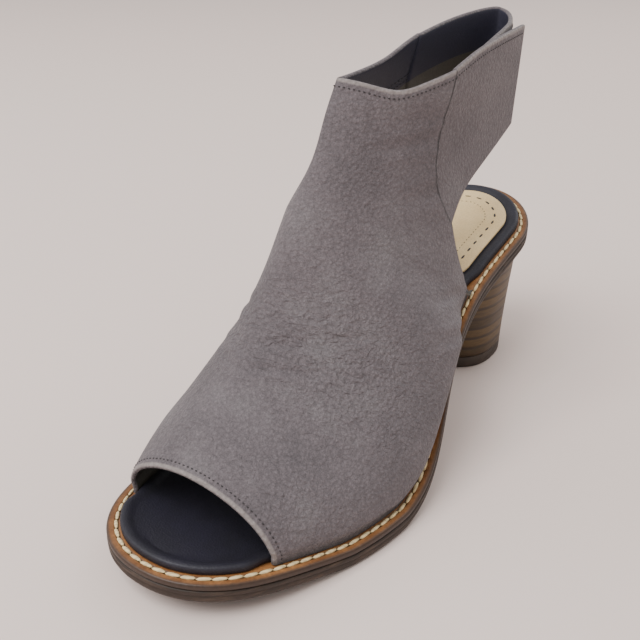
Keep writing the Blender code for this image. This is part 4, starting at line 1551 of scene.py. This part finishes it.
            at[1, :, 1] -= self.seam_step / 2
            return at
        step = at[0] + (at[1] - at[0]) * part
        step[:, 1] += self.seam_step * (1 - part[:, 0])
        return np.concatenate([at[:1], step[None], at[1:]])

    def crease_depth(self, side: Side, net: np.ndarray) -> np.ndarray:
        """How far each point of a body net sinks into the main creases, with a ridge on each side.

        Args:
            side: Which side.
            net: Row and turn of each point.

        Returns:
            The depths.
        """
        row = net[..., 0]
        turn = net[..., 1] / pi
        sunk = np.zeros(row.shape)
        for crease in self.creases:
            if crease.side != side.value:
                continue
            a = np.array([crease.row, crease.turn * self.crease_turn_rows])
            b = np.array([crease.row_end, crease.turn_end * self.crease_turn_rows])
            at = np.stack([row, turn * self.crease_turn_rows], -1) - a
            run = np.clip((at @ (b - a)) / ((b - a) @ (b - a)), 0, 1)
            off = np.linalg.norm(at - run[..., None] * (b - a), axis=-1) / crease.width
            fade = np.sin(pi * np.clip(run, 0.02, 0.98))**0.5
            ridge = self.ridge_share * np.exp(-(off - self.ridge_off)**2 * self.ridge_sharpness)
            trough = np.exp(-off**2) - ridge
            sunk += crease.depth * MM * trough * fade
        return sunk

    def flex(self, net: np.ndarray) -> np.ndarray:
        """How finely wrinkled the leather is: most where the instep bends.

        Args:
            net: Row and turn of each point.

        Returns:
            Shares of the strongest wrinkles.
        """
        row = net[..., 0]
        turn = net[..., 1] / pi
        bend = np.exp(-((row - self.flex_row) / self.flex_rows)**2)
        bend = bend * np.exp(-((turn - self.flex_turn) / self.flex_turns)**2)
        toe = 0.5 * np.exp(-((row - self.toe_row) / self.toe_rows)**2)
        return 0.25 + bend + toe

    def rim_line(self, net: np.ndarray, rim: Rim, depth_mm: float) -> np.ndarray:
        """A line on a net at a distance from one of its edges.

        Args:
            net: The grid of points.
            rim: The edge.
            depth_mm: Distance from it.

        Returns:
            Points of the line.
        """
        if rim is Rim.LAST_ROW:
            net = net[::-1]
        elif rim is Rim.LAST_COLUMN:
            net = net.transpose(1, 0, 2)[::-1]
        run = np.linalg.norm(np.diff(net, axis=0), axis=-1)
        run = np.concatenate([np.zeros((1, run.shape[1])), np.cumsum(run, 0)])
        line = [
            [np.interp(depth_mm * MM, run[:, j], net[:, j, k]) for k in range(3)] for j in range(net.shape[1])
        ]
        return np.array(line)

    def build(self, outside: bpy.types.Material, inside: bpy.types.Material) -> bpy.types.Object:
        """The shell: outer leather, lining and rounded folded edges.

        Args:
            outside: The nubuck.
            inside: The lining leather.

        Returns:
            The piece that stands for the CAD upper.
        """
        nets, sunk, flex = [], [], []
        for side in Side:
            at, rows_turns = self.body_net(side)
            nets.append(at)
            sunk.append(self.crease_depth(side, rows_turns))
            flex.append(self.flex(rows_turns))
        lateral_seam = nets[0][-self.seam_steps - 1:, -1]
        medial_seam = nets[1][-self.seam_steps - 1:, -1]
        nets += [self.tab_net(lateral_seam), self.strap_net(medial_seam)]
        for net in nets[2:]:
            sunk.append(np.zeros(net.shape[:2]))
            flex.append(np.full(net.shape[:2], self.calm_flex))
        self.nets = nets
        self.seams = np.concatenate([lateral_seam, medial_seam])
        collar = np.concatenate([nets[0][-1], nets[1][-1], nets[2][:, -1], nets[3][:, -1]])
        self.folded = np.concatenate([collar, nets[0][0], nets[1][0]])
        points = np.concatenate([net.reshape(-1, 3) for net in nets]) + 0.0
        faces, first = [], 0
        for k, net in enumerate(nets):
            rows, cols = net.shape[:2]
            start = first + np.arange(rows - 1)[:, None] * cols + np.arange(cols - 1)[None]
            quad = np.stack([start, start + 1, start + cols + 1, start + cols], -1).reshape(-1, 4)
            faces.append(quad[:, ::-1] if k in (1, 2) else quad)
            first += rows * cols
        faces = np.concatenate(faces)
        points, kept, index = np.unique(np.round(points, 9) + 0.0, axis=0, return_index=True,
                                        return_inverse=True)
        faces = index.reshape(-1)[faces]
        sink = np.concatenate([a.reshape(-1) for a in sunk])[kept]
        bend = np.concatenate([a.reshape(-1) for a in flex])[kept]
        return self.shell(points, faces, sink, bend, collar, outside, inside)

    def shell(
        self, points: np.ndarray, faces: np.ndarray, sink: np.ndarray, bend: np.ndarray,
        collar: np.ndarray, outside: bpy.types.Material, inside: bpy.types.Material,
    ) -> bpy.types.Object:
        """Gives the outer surface its wall and rounded edges.

        Args:
            points: Corners of the outer surface.
            faces: Its quads.
            sink: How far each corner sinks into a crease.
            bend: How finely wrinkled each corner is.
            collar: Points along the collar.
            outside: The nubuck.
            inside: The lining leather.

        Returns:
            The finished piece.
        """
        corner = points[faces]
        facing = np.cross(corner[:, 2] - corner[:, 0], corner[:, 3] - corner[:, 1])
        normal = np.zeros_like(points)
        for k in range(4):
            np.add.at(normal, faces[:, k], facing)
        normal /= np.linalg.norm(normal, axis=1)[:, None]
        self.surface = (finder(points), normal)
        pairs = np.concatenate([faces[:, [0, 1]], faces[:, [1, 2]], faces[:, [2, 3]], faces[:, [3, 0]]])
        owner = np.tile(np.arange(len(faces)), 4)
        _, index, count = np.unique(np.sort(pairs, 1), axis=0, return_inverse=True, return_counts=True)
        open_edge = count[index.reshape(-1)] == 1
        rim = pairs[open_edge]
        middle = corner.mean(1)[owner[open_edge]]
        away = np.zeros_like(points)
        edge_middle = points[rim].mean(1)
        run = points[rim[:, 1]] - points[rim[:, 0]]
        run /= np.linalg.norm(run, axis=1)[:, None]
        out = edge_middle - middle
        out -= run * (out * run).sum(1)[:, None]
        for k in range(2):
            np.add.at(away, rim[:, k], out / np.linalg.norm(out, axis=1)[:, None])
        away -= normal * (away * normal).sum(1)[:, None]
        length = np.linalg.norm(away, axis=1)
        away[length > 0] /= length[length > 0][:, None]
        on_welt = points[:, 2] < self.sole.welt_top(points[:, 0]) + self.sole.gap + 2 * self.foot_lift
        bulge = np.where(on_welt, self.foot_bulge, self.edge_bulge) * self.wall
        total = len(points)
        marked = np.unique(rim)
        slot_of = np.full(total, -1)
        slot_of[marked] = np.arange(len(marked))
        parts = [points - normal * sink[:, None], points - normal * self.wall]
        ring_start = []
        for angle in self.rim_turns:
            ring_start.append(sum(len(p) for p in parts))
            sag = self.wall * (1 - np.cos(pi * angle)) / 2
            reach = bulge[marked] * np.sin(pi * angle)
            parts.append(points[marked] - normal[marked] * sag + away[marked] * reach[:, None])
        every = np.concatenate(parts)
        steps = [lambda v: v] + [lambda v, s=s: s + slot_of[v] for s in ring_start] + [lambda v: v + total]
        strips = []
        for low, high in zip(steps[:-1], steps[1:]):
            a, b = rim[:, 0], rim[:, 1]
            strips.append(np.stack([low(b), low(a), high(a), high(b)], -1))
        strip = np.concatenate(strips)
        all_faces = np.concatenate([faces, faces[:, ::-1] + total, strip])
        slots = np.concatenate([np.zeros(len(faces)), np.ones(len(faces)), np.zeros(len(strip))])
        made = Sheet(every, all_faces, slots).object("upper_leather", [outside, inside])
        attribute(made, "edge_mm", nearest(every, self.folded) / MM)
        attribute(made, "collar_mm", nearest(every, collar) / MM)
        attribute(made, "seam_mm", nearest(every, self.seams) / MM)
        # Distance to the upper's foot on the welt, where the nubuck is darkened as a stained edge with
        # painted shade.
        attribute(made, "foot_mm", nearest(every, points[marked[on_welt[marked]]]) / MM)
        values = np.full(len(every), self.calm_flex)
        values[:total] = bend
        attribute(made, "flex", values)
        heal(made)
        return made

    def lifted(self, line: np.ndarray, by_mm: float) -> np.ndarray:
        """A line on the outer surface moved along the surface's normals.

        Args:
            line: Points on the outer surface.
            by_mm: Outwards; below zero goes into the shoe.

        Returns:
            The moved points.
        """
        tree, normal = self.surface
        near = [tree.find(Vector(p))[1] for p in line]
        return line + normal[near] * by_mm * MM

    def build_edge_stitches(self, finish: bpy.types.Material) -> list[bpy.types.Object]:
        """Fine rows inside the folded edges: collar, toe opening, tab top and strap top.

        Args:
            finish: Its material.

        Returns:
            The rows.
        """
        lateral, medial, tab, strap = self.nets
        depth = self.edge_stitch_mm
        lines = (
            ("collar_stitches_lateral", self.rim_line(lateral, Rim.LAST_ROW, depth)),
            ("collar_stitches_medial", self.rim_line(medial, Rim.LAST_ROW, depth)),
            ("toe_stitches_lateral", self.rim_line(lateral, Rim.FIRST_ROW, depth)[:-4]),
            ("toe_stitches_medial", self.rim_line(medial, Rim.FIRST_ROW, depth)[:-4]),
            ("tab_top_stitches", self.rim_line(tab, Rim.LAST_COLUMN, depth)[3:-2]),
            ("strap_top_stitches", self.rim_line(strap, Rim.LAST_COLUMN, depth)[3:-2]),
        )
        return [
            StitchRow(name, self.lifted(line, 0.06), 0.95, 1.75, 0.5, 0.45, finish).build()
            for name, line in lines
        ]

    def build_lining_stitches(self, finish: bpy.types.Material) -> list[bpy.types.Object]:
        """The double row that holds the navy band inside the collar.

        Args:
            finish: Its material.

        Returns:
            The rows.
        """
        lateral, medial = self.nets[:2]
        inner = -self.wall / MM - 0.05
        pieces = []
        for depth in self.lining_stitch_mm:
            for name, net in (("lateral", lateral), ("medial", medial)):
                line = self.lifted(self.rim_line(net, Rim.LAST_ROW, depth), inner)
                label = f"lining_stitches_{name}_{int(depth)}"
                pieces.append(StitchRow(label, line, 1.7, 2.3, 0.5, 0.4, finish).build())
        return pieces


@dataclass
class Studio:
    """Floor, light and camera."""

    eye: tuple = (335.8, 151.7, 203.9)
    aim: tuple = (89.7, -16.1, 46.4)
    roll: float = 0.57
    lens: float = 47.5
    floor: str = "#ead8d0"
    floor_half: float = 4.0
    room: tuple = (1.0, 0.975, 0.955, 1)
    room_strength: float = 0.66
    lit: tuple = (0.09, 0, 0.05)

    def build(self) -> None:
        """Makes the floor, three soft lights and the camera."""
        scene = bpy.context.scene
        mesh = bpy.data.meshes.new("floor")
        r = self.floor_half
        mesh.from_pydata([(-r, -r, 0), (r, -r, 0), (r, r, 0), (-r, r, 0)], [], [(0, 1, 2, 3)])
        paper = bpy.data.materials.new("pale_paper_floor")
        paper.use_nodes = True
        shader = paper.node_tree.nodes["Principled BSDF"]
        shader.inputs["Base Color"].default_value = linear(self.floor)
        shader.inputs["Roughness"].default_value = 0.9
        mesh.materials.append(paper)
        floor = bpy.data.objects.new("floor", mesh)
        scene.collection.objects.link(floor)
        world = bpy.data.worlds.new("soft_room")
        world.use_nodes = True
        backdrop = world.node_tree.nodes["Background"].inputs
        backdrop[0].default_value = self.room
        backdrop[1].default_value = self.room_strength
        scene.world = world
        for name, place, size, power in (
            ("key_softbox", (1.0, -0.25, 1.5), 1.1, 31.0), ("fill_softbox", (0.3, -1.6, 1.2), 1.4, 8.0),
            ("back_softbox", (-1.3, 0.4, 1.2), 1.2, 9.0),
        ):
            light = bpy.data.lights.new(name, "AREA")
            light.size = size
            light.energy = power
            lamp = bpy.data.objects.new(name, light)
            lamp.location = place
            lamp.rotation_euler = (Vector(self.lit) - Vector(place)).to_track_quat("-Z", "Y").to_euler()
            scene.collection.objects.link(lamp)
        camera = bpy.data.cameras.new("camera")
        camera.lens = self.lens
        camera.sensor_width = 36.0
        camera.clip_start = 0.01
        rig = bpy.data.objects.new("camera", camera)
        eye, aim = Vector(self.eye) * MM, Vector(self.aim) * MM
        facing = (aim - eye).to_track_quat("-Z", "Y").to_matrix().to_4x4()
        rig.matrix_world = Matrix.Translation(eye) @ facing @ Matrix.Rotation(radians(self.roll), 4, "Z")
        scene.collection.objects.link(rig)
        scene.camera = rig


def main() -> None:
    """Builds every piece in order and reports it."""
    logging.basicConfig(level=logging.INFO, format="%(name)s: %(message)s")
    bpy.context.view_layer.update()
    sole = SoleUnit()
    heel = Heel(sole)
    upper = Upper(sole)
    nubuck = Nubuck().build()
    lining = Lining().build()
    navy = SmoothLeather("navy_footbed_leather", "#13111c", "#23212e", 0.58).build()
    tan = SmoothLeather("tan_sock_leather", "#d8ba88", "#e4ca9b", 0.6, bump=0.2).build()
    russet = WeltLeather().build()
    rubber = SmoothLeather("dark_top_piece_rubber", "#2c221c", "#43362c", 0.6).build()
    cream = Thread("cream_waxed_thread", "#ead3a2").build()
    dark = Thread("charcoal_thread", "#2c2729").build()
    brown = Thread("brown_thread", "#5b4529").build()

    for piece, slot, stands_for in (
        (sole.build_outsole(WornSole().build()), "outsole", ["outsole"]),
        (sole.build_welt(russet), "welt", ["welt"]),
        (sole.build_footbed(navy), "footbed", ["footbed"]),
        (sole.build_sock(tan), "heel_sock", ["heel_sock"]),
        (heel.build_block(StackedLeather().build()), "heel_block", ["heel_block"]),
        (heel.build_tip(rubber), "heel_tip", ["heel_tip"]),
    ):
        heal(piece)
        set_on_body(piece, stands_for)
    set_on_body(upper.build(nubuck, lining), ["upper"])
    set_on_body(sole.build_welt_stitches(cream))
    for piece in sole.build_sock_stitches(dark, brown):
        set_on_body(piece)
    for piece in upper.build_edge_stitches(dark) + upper.build_lining_stitches(dark):
        set_on_body(piece)
    pad = bpy.data.objects["hook_and_loop_pad"]
    tape = HookTape().build()
    for place in pad.material_slots:
        place.material = tape
    Studio().build()


if __name__ == "__main__":
    main()
